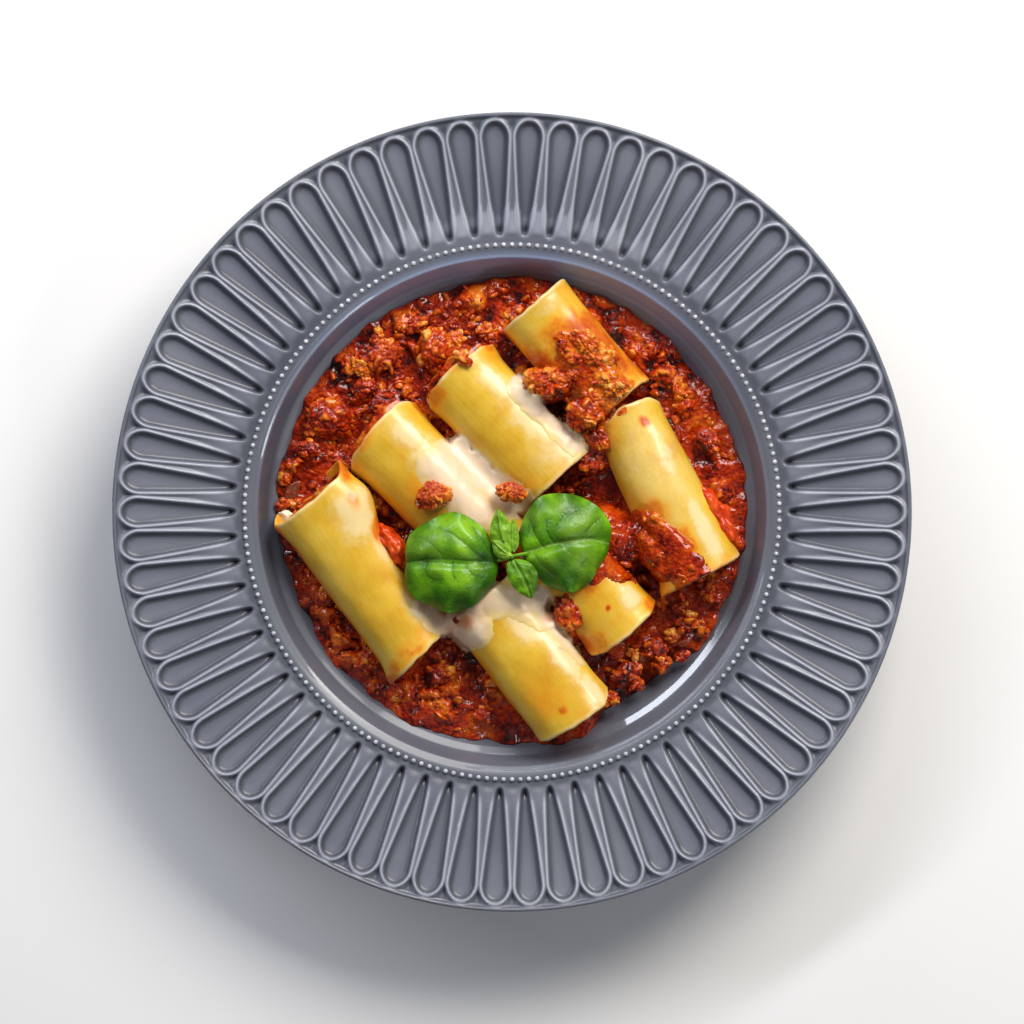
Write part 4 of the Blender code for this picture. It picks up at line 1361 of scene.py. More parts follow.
for _ in range(6):
    near[1:, :] |= near[:-1, :]
    near[:-1, :] |= near[1:, :]
    near[:, 1:] |= near[:, :-1]
    near[:, :-1] |= near[:, 1:]
ground = np.full(plan_x.shape, RAGU_LEVEL)
for j, i in zip(*np.nonzero(near)):
    ground[j, i] = drop(under_trees, plan_x[j, i], plan_y[j, i], RAGU_LEVEL)
filled = ground.copy()
for _ in range(140):
    padded = np.pad(filled, 1, mode="edge")
    mean = (padded[:-2, 1:-1] + padded[2:, 1:-1] + padded[1:-1, :-2] + padded[1:-1, 2:]) / 4.0
    filled = np.maximum(mean, ground - 0.05)
surface = ground + (filled - ground) * smooth(thick, 0.05, 0.55) + thick
verts = []
depths = []
faces = []
index = -np.ones(plan_x.shape, dtype=int)
under_index = -np.ones(plan_x.shape, dtype=int)
cells = wanted[:-1, :-1] & wanted[1:, :-1] & wanted[:-1, 1:] & wanted[1:, 1:]
used = np.zeros(plan_x.shape, dtype=bool)
rim_count = np.zeros(plan_x.shape, dtype=int)
for dj, di in ((0, 0), (0, 1), (1, 0), (1, 1)):
    used[dj : dj + cells.shape[0], di : di + cells.shape[1]] |= cells
    rim_count[dj : dj + cells.shape[0], di : di + cells.shape[1]] += cells
for j, i in zip(*np.nonzero(used)):
    edge = rim_count[j, i] < 4
    index[j, i] = len(verts)
    height = ground[j, i] - 0.08 if edge else surface[j, i]
    verts.append((plan_x[j, i], plan_y[j, i], height))
    depths.append(0.0 if edge else min((surface[j, i] - ground[j, i]) / 1.4, 1.0))
    if edge:
        under_index[j, i] = index[j, i]
        continue
    under_index[j, i] = len(verts)
    verts.append((plan_x[j, i], plan_y[j, i], ground[j, i] - 0.6))
    depths.append(0.0)
for j, i in zip(*np.nonzero(cells)):
    corners = ((j, i), (j, i + 1), (j + 1, i + 1), (j + 1, i))
    faces.append(tuple(index[c] for c in corners))
    faces.append(tuple(under_index[c] for c in reversed(corners)))
sauce_spots = np.array(verts)
juice_and_warm_light_values = np.zeros(len(verts))
for x, y, reach, strength in JUICE_STAINS_AND_WARM_LIGHT:
    away = np.hypot(sauce_spots[:, 0] - x, sauce_spots[:, 1] - y) + 1.3 * lumps(sauce_spots, 1.6, x)
    juice_and_warm_light_values = np.maximum(juice_and_warm_light_values, strength * (1.0 - smooth(away, 0.2 * reach, reach)))
white_sauce = mesh_object("white_sauce_pour", verts, faces, {"depth": depths, "juice_and_warm_light": juice_and_warm_light_values})
pour_parts = bmesh.new()
pour_parts.from_mesh(white_sauce.data)
for edge in pour_parts.edges:
    edge.smooth = edge.calc_face_angle(0.0) < 1.2
pour_parts.to_mesh(white_sauce.data)
pour_parts.free()
finish(white_sauce, bechamel, "white_sauce")


# ---- lumps of mince and tomato on top -----------------------------------------------------------
# Three clusters of browned mince stuck together, two on the white sauce and one against a tube,
# and two strips of stewed tomato. They have only fallen there with the sauce.


def lump_points(centre, size, turned, detail, seed):
    """Points, faces and unit directions of a round lump of full size, turned in plan."""
    made = bmesh.new()
    bmesh.ops.create_icosphere(made, subdivisions=detail, radius=1.0)
    unit = np.array([vert.co[:] for vert in made.verts])
    lump_faces = [tuple(vert.index for vert in face.verts) for face in made.faces]
    made.free()
    spots = unit * np.array(size) / 2.0
    spots = spots * (1.0 + 0.16 * lumps(unit, 0.9, seed))[:, None]
    cos, sin = math.cos(math.radians(turned)), math.sin(math.radians(turned))
    spin = np.array([[cos, sin, 0.0], [-sin, cos, 0.0], [0.0, 0.0, 1.0]])
    return spots @ spin + np.array(centre), lump_faces, unit @ spin


def mince_lump(centre, size, turned, detail):
    """A cluster of mince crumbs: coarse crumbs, finer ones on them, and deep gaps between, painted
    darker as painted shade.
    """
    spots, lump_faces, outward = lump_points(centre, size, turned, detail, centre[0])
    big_stand, big_own, _ = crumbs(spots, 3.6, 4.0 + centre[1])
    small_stand, small_own, _ = crumbs(spots, 1.2, 9.0)
    rise = 1.35 * big_stand * (0.3 + big_own) + 0.42 * small_stand * (0.3 + small_own) - 1.0
    spots = spots + outward * rise[:, None]
    # Lighter on the crumbs' tops and darker down in the gaps: the meat against its gravy, and painted
    # shade in the gaps.
    shade = 0.10 + 0.54 * big_stand * (0.25 + big_own) + 0.20 * small_stand * small_own
    return spots, lump_faces, np.clip(shade, 0.0, 1.0)


MINCE_LUMPS = (
    ("meat_1", (-27.6, 5.6, 35.6), (12.6, 9.8, 8.6), 15.0),
    ("meat_2", (-0.3, 6.8, 32.6), (10.6, 7.2, 8.6), -12.0),
    ("meat_3", (13.2, 45.6, 30.8), (19.5, 11.5, 11.5), 6.0),
)
for name, centre, size, turned in MINCE_LUMPS:
    spots, lump_faces, shade = mince_lump(centre, size, turned, 6)
    oily_shade = np.clip(shade + 0.14, 0.0, 1.0)
    lump = mesh_object(name.replace("meat", "mince_lump"), spots, lump_faces, {"crumb": oily_shade})
    finish(lump, ragu, "browned_mince", name)

# More clusters lie half sunk in the sauce, most of them at the far left and the near right:
# place, length, width and degrees turned. Each sits on whatever lies under its place.
SUNK_LUMPS = (
    (-45.5, 55.5, 15.0, 10.0, 30), (-27.0, 57.0, 13.0, 17.0, 10), (-17.0, 55.0, 9.0, 12.0, 70),
    (-64.5, 33.0, 16.0, 14.0, -20), (-52.0, 44.0, 9.0, 8.0, 40), (-58.0, 52.0, 8.0, 6.0, 80),
    (-46.0, 37.5, 12.0, 9.0, 30), (-72.0, 22.0, 9.0, 7.0, 0), (-34.0, 66.0, 9.0, 6.0, 20),
    (2.0, 70.0, 8.0, 7.0, 0), (-8.0, 62.0, 9.0, 6.0, -40), (25.2, 34.6, 13.0, 12.0, 15),
    (31.0, 26.0, 9.0, 11.0, 60), (27.2, 17.2, 11.0, 8.0, 30), (55.0, 48.0, 10.0, 8.0, -50),
    (69.0, 25.0, 11.0, 8.0, -70), (61.0, 37.0, 8.0, 7.0, 20), (74.0, 8.0, 8.0, 9.0, 0),
    (53.0, -32.5, 5.5, 4.2, 70), (59.6, -34.0, 6.2, 4.6, 20), (66.5, -41.0, 6.5, 5.0, -40),
    (56.4, -43.6, 6.2, 5.2, 30), (52.8, -53.4, 7.4, 6.2, 60), (46.0, -45.6, 8.0, 5.6, 20),
    (68.0, -26.6, 6.6, 4.8, -10), (60.0, -51.0, 6.0, 4.8, 0), (44.4, -61.0, 6.4, 5.0, 30),
    (50.0, -48.0, 10.0, 8.0, 10), (62.0, -39.0, 9.0, 7.0, 50), (40.0, -57.0, 12.0, 8.0, 30),
    (71.0, -30.0, 8.0, 6.0, 0), (19.6, -35.2, 14.0, 9.6, -68), (-26.0, -57.0, 10.0, 8.0, 20),
    (-8.0, -60.0, 9.0, 7.0, -30), (-52.0, -53.0, 9.0, 8.0, 10), (-66.0, -30.0, 9.0, 7.0, 60),
    (-10.0, -72.0, 8.0, 6.0, 0), (34.0, -66.0, 9.0, 6.0, 0), (-81.0, 3.0, 6.5, 4.6, 30),
    (-75.6, 3.2, 4.6, 3.6, -30), (-18.4, -37.7, 5.5, 4.0, 20), (-24.0, -56.5, 8.0, 6.0, 0),
    (17.6, 58.5, 5.5, 4.4, -70), (33.4, 32.0, 6.5, 9.5, -20),
    (44.6, 43.6, 8.0, 7.0, -40), (21.6, 53.6, 6.0, 4.6, 20),
    (-52.0, 57.0, 7.0, 5.0, 20), (-70.0, 30.0, 7.0, 6.0, 60),
)
# A few of them are paler, with orange fat on them.
FATTY_LUMPS = (
    (-46.7, 59.0, 12.0, 6.0, -72), (-21.5, 58.5, 13.0, 8.0, 60), (-53.4, 51.2, 9.5, 5.0, -42),
    (-17.0, 53.5, 8.0, 5.0, -30), (-80.0, 12.0, 6.0, 5.0, 60), (57.0, -44.0, 7.0, 5.0, 20),
    (53.0, -53.5, 6.0, 4.6, 60), (43.0, -50.0, 6.0, 4.0, 75), (27.8, 54.2, 7.0, 5.0, -20),
    (20.9, 48.2, 5.4, 4.6, -50), (33.0, 46.6, 5.4, 4.0, 10), (25.4, 59.3, 12.0, 7.5, -35),
    (34.2, 54.7, 8.0, 7.0, -50), (36.8, 43.4, 10.0, 6.0, 20), (28.6, 40.0, 9.0, 5.5, -30),
)
sunk_spots, sunk_faces, sunk_shades = [], [], []
for x, y, long, wide, turned in SUNK_LUMPS + FATTY_LUMPS:
    ground_z = drop(under_trees, x, y, RAGU_LEVEL)
    centre = (x, y, ground_z + 0.06 * long)
    detail = 5 if long > 8.0 else 4
    spots, lump_faces, shade = mince_lump(centre, (long, wide, 0.62 * wide), turned, detail)
    first = sum(len(part) for part in sunk_spots)
    sunk_faces += [tuple(first + v for v in face) for face in lump_faces]
    sunk_spots.append(spots)
    fatty = (x, y, long, wide, turned) in FATTY_LUMPS
    sunk_shades.append(np.clip(shade + (0.24 if fatty else 0.0), 0.0, 1.0))
sunk = mesh_object(
    "mince_lumps_in_sauce",
    np.concatenate(sunk_spots),
    sunk_faces,
    {"crumb": np.concatenate(sunk_shades)},
)
finish(sunk, ragu, "browned_mince")

# Stewed tomato flesh: soft, wet and see-through red, with pale fibres along it.
tomato, tree, shader = new_material("stewed_tomato_flesh", Roughness=0.34, IOR=1.38)
shader.inputs["Subsurface Weight"].default_value = 0.30
shader.inputs["Subsurface Radius"].default_value = (1.0, 0.25, 0.12)
shader.inputs["Subsurface Scale"].default_value = mm(2.0)
shader.inputs["Coat Weight"].default_value = 0.2
shader.inputs["Coat Roughness"].default_value = 0.10
place = node(tree, "ShaderNodeTexCoord").outputs["Object"]
fibre = node(tree, "ShaderNodeAttribute", attribute_name="fibre").outputs["Fac"]
pulp = node(tree, "ShaderNodeTexNoise", {"Scale": 300.0, "Detail": 4.0}, {"Vector": place})
mixed = node(tree, "ShaderNodeMath", {1: 0.5}, {0: pulp.outputs["Fac"]}, operation="MULTIPLY")
mixed = node(tree, "ShaderNodeMath", links={0: mixed.outputs[0], 1: fibre}, operation="ADD")
red_flesh = ramp(
    tree,
    mixed.outputs[0],
    [(0.1, "#a02200"), (0.4, "#cc3a04"), (0.7, "#e05c16"), (1.0, "#e89a5a")],
)
tree.links.new(red_flesh, shader.inputs["Base Color"])
fleshy = node(
    tree,
    "ShaderNodeBump",
    {"Strength": 0.3, "Distance": mm(0.4)},
    {"Height": pulp.outputs["Fac"]},
)
tree.links.new(fleshy.outputs["Normal"], shader.inputs["Normal"])

TOMATO_STRIPS = (
    ("tomato_1", (72.6, -1.0, 25.4), (23.0, 7.6, 8.0), -57.0),
    ("tomato_2", (-41.8, -12.0, 26.0), (18.5, 8.6, 10.0), -58.0),
)
for name, centre, size, turned in TOMATO_STRIPS:
    spots, lump_faces, outward = lump_points(centre, size, turned, 5, centre[0])
    cos, sin = math.cos(math.radians(turned)), math.sin(math.radians(turned))
    along = (spots[:, 0] - centre[0]) * cos + (spots[:, 1] - centre[1]) * sin
    aside = -(spots[:, 0] - centre[0]) * sin + (spots[:, 1] - centre[1]) * cos
    grain_points = np.column_stack([along / 5.0, aside, spots[:, 2]])
    strand = lumps(grain_points, 1.3, 2.0)
    torn, torn_own, _ = crumbs(spots, 4.2, 6.0)
    rise = 0.5 * strand + 1.3 * lumps(spots, 4.0, 6.0) + 0.9 * torn * torn_own
    rise = rise + 0.4 * lumps(spots, 1.6, 3.0)
    spots = spots + outward * (rise - 0.8)[:, None]
    shade = 0.02 + 0.25 * smooth(strand, -0.2, 0.6) + 0.30 * torn * torn_own
    strip = mesh_object(name.replace("tomato", "tomato_strip"), spots, lump_faces, {"fibre": shade})
    finish(strip, tomato, "tomato", name)


# ---- the bits of onion --------------------------------------------------------------------------
# Onion, chopped small and stewed clear with the mince. One pale slice has come to rest on the open
# lip of the leftmost tube with a glassy one behind it, and a small bit shows at the near right.

# Stewed onion: clear and glassy, pale straw yellow, with the orange of the sauce in it.
onion, tree, shader = new_material("stewed_onion", Roughness=0.12, IOR=1.40)
shader.inputs["Subsurface Weight"].default_value = 0.45
shader.inputs["Subsurface Radius"].default_value = (1.0, 0.7, 0.4)
shader.inputs["Subsurface Scale"].default_value = mm(2.0)
place = node(tree, "ShaderNodeTexCoord").outputs["Object"]
pale = node(tree, "ShaderNodeAttribute", attribute_name="pale").outputs["Fac"]
strands = node(tree, "ShaderNodeTexNoise", {"Scale": 500.0, "Detail": 3.0}, {"Vector": place})
shade = node(
    tree,
    "ShaderNodeMath",
    {1: 0.5, 2: -0.25},
    {0: strands.outputs["Fac"]},
    operation="MULTIPLY_ADD",
)
shade = node(tree, "ShaderNodeMath", links={0: shade.outputs[0], 1: pale}, operation="ADD")
tree.links.new(mapped(tree, pale, 0.4, 0.9, 0.8, 0.0), shader.inputs["Transmission Weight"])
straw = ramp(
    tree,
    shade.outputs[0],
    [(0.0, "#a3450c"), (0.3, "#c4683a"), (0.6, "#dfb394"), (0.9, "#efe3c4")],
)
tree.links.new(straw, shader.inputs["Base Color"])
layered = node(
    tree,
    "ShaderNodeBump",
    {"Strength": 0.6, "Distance": mm(0.4)},
    {"Height": strands.outputs["Fac"]},
)
tree.links.new(layered.outputs["Normal"], shader.inputs["Normal"])

# Bits: centre in plan, full size, degrees turned, how pale, how pointed its ends are.
ONION_BITS = (
    ((-79.6, -1.6), (7.6, 4.2, 2.0), -27.0, 0.90, 1.0),
    ((-77.4, 7.4), (7.8, 4.6, 2.2), 62.0, 0.38, 0.3),
    ((60.5, -46.5), (3.6, 2.4, 1.6), 20.0, 0.35, 0.2),
)
bit_spots, bit_faces, bit_pale = [], [], []
for (x, y), size, turned, paleness, pointed in ONION_BITS:
    ground_z = drop(under_trees, x, y, RAGU_LEVEL)
    spots, lump_faces, outward = lump_points((0.0, 0.0, 0.0), size, 0.0, 4, x)
    end_share = np.clip(np.abs(spots[:, 0]) / (size[0] / 2.0), 0.0, 1.0)
    spots[:, 1] *= 1.0 - pointed * 0.75 * end_share**1.6
    torn = 0.13 * size[0] * lumps(spots, 0.4 * size[0], y) + 0.35 * lumps(spots, 1.2, y)
    spots = spots + outward * torn[:, None]
    cos, sin = math.cos(math.radians(turned)), math.sin(math.radians(turned))
    spots = spots @ np.array([[cos, sin, 0.0], [-sin, cos, 0.0], [0.0, 0.0, 1.0]])
    first = sum(len(part) for part in bit_spots)
    bit_faces += [tuple(first + v for v in face) for face in lump_faces]
    bit_spots.append(spots + np.array([x, y, ground_z + 0.10 * size[2]]))
    bit_pale.append(np.full(len(spots), paleness))
pale_values = np.concatenate(bit_pale)
bits = mesh_object("onion_bits", np.concatenate(bit_spots), bit_faces, {"pale": pale_values})
finish(bits, onion, "onion")


# ---- the basil sprig ----------------------------------------------------------------------------
# The top of a stalk of sweet basil, laid on fresh: two broad domed leaves, quilted between their
# veins, and the folded young leaves of the shoot between them. Each leaf is 0.4 mm thick.

# Basil leaf: a deep green with a waxy gloss, lighter and yellower on the veins and where young. It is
# painted darker along its folds, on the near half of each broad leaf and on the stalk, as painted
# shade, and paler on its swells, as painted highlights.
basil, tree, shader = new_material("basil_leaf", Roughness=0.36, IOR=1.45)
shader.inputs["Subsurface Weight"].default_value = 0.12
shader.inputs["Subsurface Radius"].default_value = (0.35, 1.0, 0.12)
shader.inputs["Subsurface Scale"].default_value = mm(0.6)
shader.inputs["Specular IOR Level"].default_value = 0.35
shader.inputs["Coat Weight"].default_value = 0.22
shader.inputs["Coat Roughness"].default_value = 0.30
place = node(tree, "ShaderNodeTexCoord").outputs["Object"]
vein = node(tree, "ShaderNodeAttribute", attribute_name="vein").outputs["Fac"]
young = node(tree, "ShaderNodeAttribute", attribute_name="young").outputs["Fac"]
mottle = node(tree, "ShaderNodeTexNoise", {"Scale": 85.0, "Detail": 5.0}, {"Vector": place})
blade = ramp(
    tree, mottle.outputs["Fac"], [(0.34, "#245402"), (0.5, "#458003"), (0.66, "#7ab513")]
)
fresh_green = blended(tree, young, blade, "#93bd2c")
veined = blended(tree, mapped(tree, vein, 0.0, 1.0, 0.0, 0.40), fresh_green, "#b2cf68")
crease_shading = node(tree, "ShaderNodeAttribute", attribute_name="crease").outputs["Fac"]
shaded = blended(tree, mapped(tree, crease_shading, 0.0, 1.0, 0.0, 0.55), veined, "#174602")
tree.links.new(shaded, shader.inputs["Base Color"])
net = node(
    tree,
    "ShaderNodeTexVoronoi",
    {"Scale": 520.0},
    {"Vector": place},
    feature="DISTANCE_TO_EDGE",
)
mesh_of_veins = node(
    tree,
    "ShaderNodeBump",
    {"Strength": 0.70, "Distance": mm(0.32)},
    {"Height": net.outputs["Distance"]},
)
tree.links.new(mesh_of_veins.outputs["Normal"], shader.inputs["Normal"])

# The broad leaves are wider than BROAD, and where they swell past LEAF_TOP they are pressed flatter.
LEAF_THICK = 0.4
LEAF_TOP = 42.9
BROAD = 20.0

# Leaves: base, tip, width, height of the base, doming, rise of the tip, fold along the midrib,
# pairs of side veins, youth.
LEAVES = {
    "left_leaf": ((-3.0, -16.9), (-38.0, -16.6), 35.5, 34.6, 7.6, -1.0, 0.8, 4.0, 0.0),
    "right_leaf": ((3.2, -14.8), (35.6, -9.6), 34.0, 34.6, 7.6, -1.0, 0.8, 4.0, 0.0),
    "far_leaf": ((-1.2, -14.6), (-4.9, 1.2), 8.4, 37.6, 1.2, 0.6, -1.6, 4.0, 0.45),
    "far_side_leaf": ((0.4, -14.2), (0.6, -2.4), 5.2, 37.0, 0.8, 1.0, -1.0, 3.0, 0.45),
    "near_leaf": ((0.4, -16.6), (6.8, -30.4), 10.4, 38.0, 1.8, -0.6, 1.1, 4.0, 0.15),
    "near_side_leaf": ((-0.4, -16.6), (0.4, -25.0), 4.6, 37.6, 0.8, -0.4, 0.8, 3.0, 0.25),
    "bud_leaf": ((-0.6, -15.2), (-6.8, -9.8), 6.2, 38.2, 1.4, 0.8, -1.0, 3.0, 0.5),
    "small_bud_leaf": ((0.2, -15.4), (-5.6, -13.8), 3.0, 38.6, 0.8, 0.8, -0.5, 2.0, 0.8),
}

# Outlines of the two broad leaves: the middle, then degrees and how far the margin is from it.
OUTLINES = {
    "left_leaf": (
        (-21.0, -17.7),
        (0, 30, 52, 70, 88, 117, 147, 180, 213, 243, 269, 288, 306, 330),
        (16.2, 16.0, 16.3, 17.0, 17.9, 16.6, 17.8, 16.2, 18.3, 16.9, 17.8, 17.0, 16.6, 16.4),
    ),
    "right_leaf": (
        (18.0, -11.0),
        (0, 19, 36, 64, 92, 115, 145, 180, 215, 238, 264, 282, 301, 322),
        (16.2, 17.8, 17.8, 17.4, 17.5, 18.4, 16.6, 15.2, 14.6, 15.2, 16.6, 17.5, 16.8, 14.9),
    ),
}

# Folds and veins of the broad leaves: depth, how pale the line is, and its path. Each fold is also
# painted darker along its line, as painted shade.
FOLDS = {
    "left_leaf": (
        (0.55, 0.0, ((-36.6, -17.6), (-29.4, -16.4), (-23.0, -16.4), (-16.5, -16.8), (-5.8, -17.6))),
        (0.30, 0.5, ((-35.0, -9.3), (-31.5, -9.3), (-28.3, -11.2), (-25.6, -13.9), (-24.3, -16.0))),
        (0.40, 0.0, ((-25.6, -5.3), (-20.8, -7.7), (-16.5, -10.9), (-12.2, -14.7), (-10.1, -16.5))),
        (0.35, 0.0, ((-13.9, -5.3), (-10.1, -9.6), (-7.4, -14.4))),
        (0.26, 0.0, ((-29.7, -17.9), (-30.4, -20.3), (-29.6, -22.2), (-27.6, -23.6), (-25.1, -23.8))),
        (0.40, 0.0, ((-20.5, -17.6), (-21.1, -20.3), (-20.0, -23.5))),
        (0.35, 0.0, ((-16.0, -18.7), (-13.9, -21.9), (-10.1, -23.0))),
    ),
    "right_leaf": (
        (0.45, 1.0, ((3.3, -14.1), (8.1, -13.1), (12.4, -11.7), (17.8, -10.5), (22.6, -9.7),
                     (27.4, -9.4), (31.7, -10.4), (34.1, -11.2))),
        (0.50, 0.0, ((6.5, -3.1), (7.6, -6.9), (9.5, -10.1), (11.1, -12.3))),
        (0.50, 0.0, ((11.9, -3.1), (12.1, -6.4), (13.2, -9.0), (14.8, -10.6))),
        (0.35, 0.0, ((30.6, -2.1), (28.2, -4.2), (25.8, -6.9))),
        (0.20, 0.0, ((22.6, 0.6), (17.8, -1.5), (15.6, -4.8))),
        (0.30, 0.8, ((7.6, -14.7), (9.2, -17.6), (11.9, -20.3), (15.1, -23.0))),
        (0.25, 0.8, ((17.2, -11.0), (19.1, -13.3), (20.4, -14.9))),
    ),
}
# Where they swell between the folds: place, reach and height. Each swell is also painted paler, as a
# painted highlight.
SWELLS = {
    "left_leaf": (
        (-23.0, -2.6, 4.6, 0.7), (-27.4, -11.2, 5.0, 0.8), (-15.8, -6.6, 4.0, 0.6),
        (-17.6, -12.8, 3.6, 0.6), (-25.6, -20.0, 3.4, 1.1), (-13.0, -19.2, 3.0, 0.5),
        (-32.0, -13.5, 3.0, 0.4), (-17.5, -24.5, 4.0, 0.4),
    ),
    "right_leaf": (
        (26.0, -3.4, 5.6, 1.0), (15.4, 1.4, 4.0, 0.7), (9.4, -1.8, 3.0, 0.5),
        (20.0, -6.6, 4.0, 0.6), (24.4, -15.0, 6.0, 0.9), (12.8, -16.6, 4.0, 0.6),
    ),
}


def path_distance(points, path):
    """How far points in plan are from a path of straight pieces."""
    best = np.full(len(points), 1e9)
    for start, end in zip(path, path[1:]):
        start, run = np.array(start), np.array(end) - np.array(start)
        share = np.clip(((points - start) @ run) / (run @ run), 0.0, 1.0)
        best = np.minimum(best, np.hypot(*(points - start - np.outer(share, run)).T))
    return best


def leaf(name, base, tip, width, height, doming, tip_rise, fold, pairs, youth):
    """One leaf: its upper face and its under face, joined round the margin."""
    base, tip = np.array(base), np.array(tip)
    length = float(np.hypot(*(tip - base)))
    along = (tip - base) / length
    across = np.array([-along[1], along[0]])
    broad = width > BROAD
    rows, columns = (136, 111) if broad else (48, 33)
    u = np.repeat(np.linspace(0.004, 0.996, rows), columns)
    v = np.tile(np.linspace(-1.0, 1.0, columns), rows)
    outline = np.sin(math.pi * u ** (0.86 if broad else 0.80)) ** (0.50 if broad else 0.80)
    outline = np.where(u > 0.8, outline * (1.0 - 0.10 * smooth(u, 0.8, 1.0)), outline)
    seed_points = np.column_stack([u * 6.0, v * 3.0, np.full(len(u), base[0])])
    half = width / 2.0 * outline * (1.0 + 0.03 * lumps(seed_points, 1.6, 5.0))
    aside = half * v
    lean = 0.045 * length * np.sin(math.pi * u)
    flat_points = base + np.outer(u * length, along) + np.outer(aside + lean, across)
    if name in OUTLINES:
        middle, degrees, reaches = OUTLINES[name]
        away = flat_points - np.array(middle)
        turn = np.mod(np.arctan2(away[:, 1], away[:, 0]), math.tau)
        edge = np.abs(v) > 0.999
        order = np.argsort(turn[edge])
        far_edge = np.hypot(*away[edge].T)[order]
        now = np.interp(turn, turn[edge][order], far_edge, period=math.tau)
        wanted_reach = np.interp(turn, np.radians(degrees), reaches, period=math.tau)
        share = np.clip(np.hypot(*away.T) / now, 0.0, 1.0) ** 2
        flat_points = middle + away * (1.0 + share * (wanted_reach / now - 1.0))[:, None]
    curve = 0.34 * np.abs(v) ** 1.3 + 0.05 * lumps(seed_points, 2.2, 9.0)
    side_vein = (u - curve) * (pairs + 0.5) + np.where(v > 0, 0.30, 0.72)
    between = np.abs(side_vein - np.round(side_vein)) * 2.0
    quilt = smooth(between, 0.0, 1.0) * smooth(np.abs(v), 0.0, 0.45)
    quilt = quilt * (1.0 - smooth(np.abs(v), 0.72, 1.0))
    plan = np.column_stack([flat_points, np.zeros(len(u))])
    pucker = lumps(plan, 0.34 * width, 11.0) + 0.22 * lumps(plan, 0.14 * width, 17.0)
    dome = doming * (1.0 - np.abs(v) ** 2.4 * 0.85) * np.sin(math.pi * u**0.85) ** 0.7
    crease = np.exp(-((aside / (0.040 * width)) ** 2))
    folded = fold * crease * np.sin(math.pi * np.clip(u, 0, 0.97)) ** 0.3
    z = height + dome + tip_rise * u**2 - folded
    ripple = 0.03 if broad else 0.095
    z = z + (0.006 if broad else 0.018) * width * quilt * outline
    z = z + ripple * width * pucker * (1.0 - np.abs(v) ** 3)
    curl = 0.05 * width * np.abs(v) ** 6 * np.sin(7.0 * math.pi * u + 2.0 * np.sign(v))
    z = z + curl * outline
    z = np.minimum(z, LEAF_TOP + 0.35 * (z - LEAF_TOP)) if broad else z
    midrib = np.exp(-((aside / 0.26) ** 2)) * (1.0 - 0.5 * u)
    ribs = np.exp(-((between / 0.045) ** 2)) * smooth(np.abs(v), 0.0, 0.06)
    ribs = ribs * (1.0 - smooth(np.abs(v), 0.35, 0.85)) * 0.30
    if broad:
        midrib = np.zeros(len(u))
        ribs = 0.35 * ribs
    vein_value = midrib + ribs
    z = z - 0.16 * ribs - 0.10 * midrib
    painted_crease_shade = np.zeros(len(u))
    for depth, paleness, path in FOLDS.get(name, ()):
        off = path_distance(flat_points, path)
        z = z - depth * (0.45 * np.exp(-((off / 0.45) ** 2)) + 1.3 * np.exp(-((off / 2.3) ** 2)))
        vein_value = np.maximum(vein_value, paleness * np.exp(-((off / 0.34) ** 2)))
        # Painted shade: each fold is painted darker along its line.
        dark = 0.75 * (1.0 - paleness) * np.exp(-((off / 0.30) ** 2))
        dark = dark + 0.4 * np.exp(-((off / 1.6) ** 2))
        painted_crease_shade = np.maximum(painted_crease_shade, dark)
    swell_highlight = np.zeros(len(u))
    for x, y, reach, high in SWELLS.get(name, ()):
        swell = np.exp(-((np.hypot(flat_points[:, 0] - x, flat_points[:, 1] - y) / reach) ** 2))
        z = z + high * swell
        # Painted highlight: each swell is painted paler.
        swell_highlight = np.maximum(swell_highlight, 0.42 * swell)
    if broad:
        # Painted shade on the near half of each broad leaf.
        near_half_shade = smooth(-v * along[0], 0.20, 0.85) * (1.0 if along[0] < 0.0 else 0.45)
        painted_crease_shade = np.clip(painted_crease_shade + 0.90 * near_half_shade, 0.0, 1.0)
        swell_highlight = swell_highlight * (1.0 - near_half_shade)
    vein_value = np.clip(vein_value, 0.0, 1.0)
    upper = np.column_stack([flat_points, z])
    lower = upper - np.array([0.0, 0.0, LEAF_THICK])
    count = rows * columns
    leaf_faces = []
    for r in range(rows - 1):
        for c in range(columns - 1):
            a = r * columns + c
            b = count + a
            leaf_faces.append((a, a + columns, a + columns + 1, a + 1))
            leaf_faces.append((b, b + 1, b + columns + 1, b + columns))
    rim = list(range(columns)) + [r * columns + columns - 1 for r in range(1, rows)]
    rim += [(rows - 1) * columns + c for c in range(columns - 2, -1, -1)]
    rim += [r * columns for r in range(rows - 2, 0, -1)]
    for k, a in enumerate(rim):
        b = rim[(k + 1) % len(rim)]
        leaf_faces.append((a, b, count + b, count + a))
    points = np.concatenate([upper, lower])
    young_and_highlight_value = np.tile(np.maximum(swell_highlight, youth), 2)
    return points, leaf_faces, np.tile(vein_value, 2), young_and_highlight_value, np.tile(painted_crease_shade, 2)


leaf_spots, leaf_faces_all, leaf_veins, leaf_youth_and_highlight, leaf_crease_shades = [], [], [], [], []


def add_leaf_part(points, part_faces, vein_value, young_and_highlight_value, painted_crease_shade):
    """Adds a part to the sprig's one mesh."""
    first = sum(len(part) for part in leaf_spots)
    leaf_faces_all.extend(tuple(first + v for v in face) for face in part_faces)
    leaf_spots.append(np.asarray(points))
    leaf_veins.append(np.asarray(vein_value))
    leaf_youth_and_highlight.append(np.asarray(young_and_highlight_value))
    leaf_crease_shades.append(np.asarray(painted_crease_shade))


for name, values in LEAVES.items():
    add_leaf_part(*leaf(name, *values))

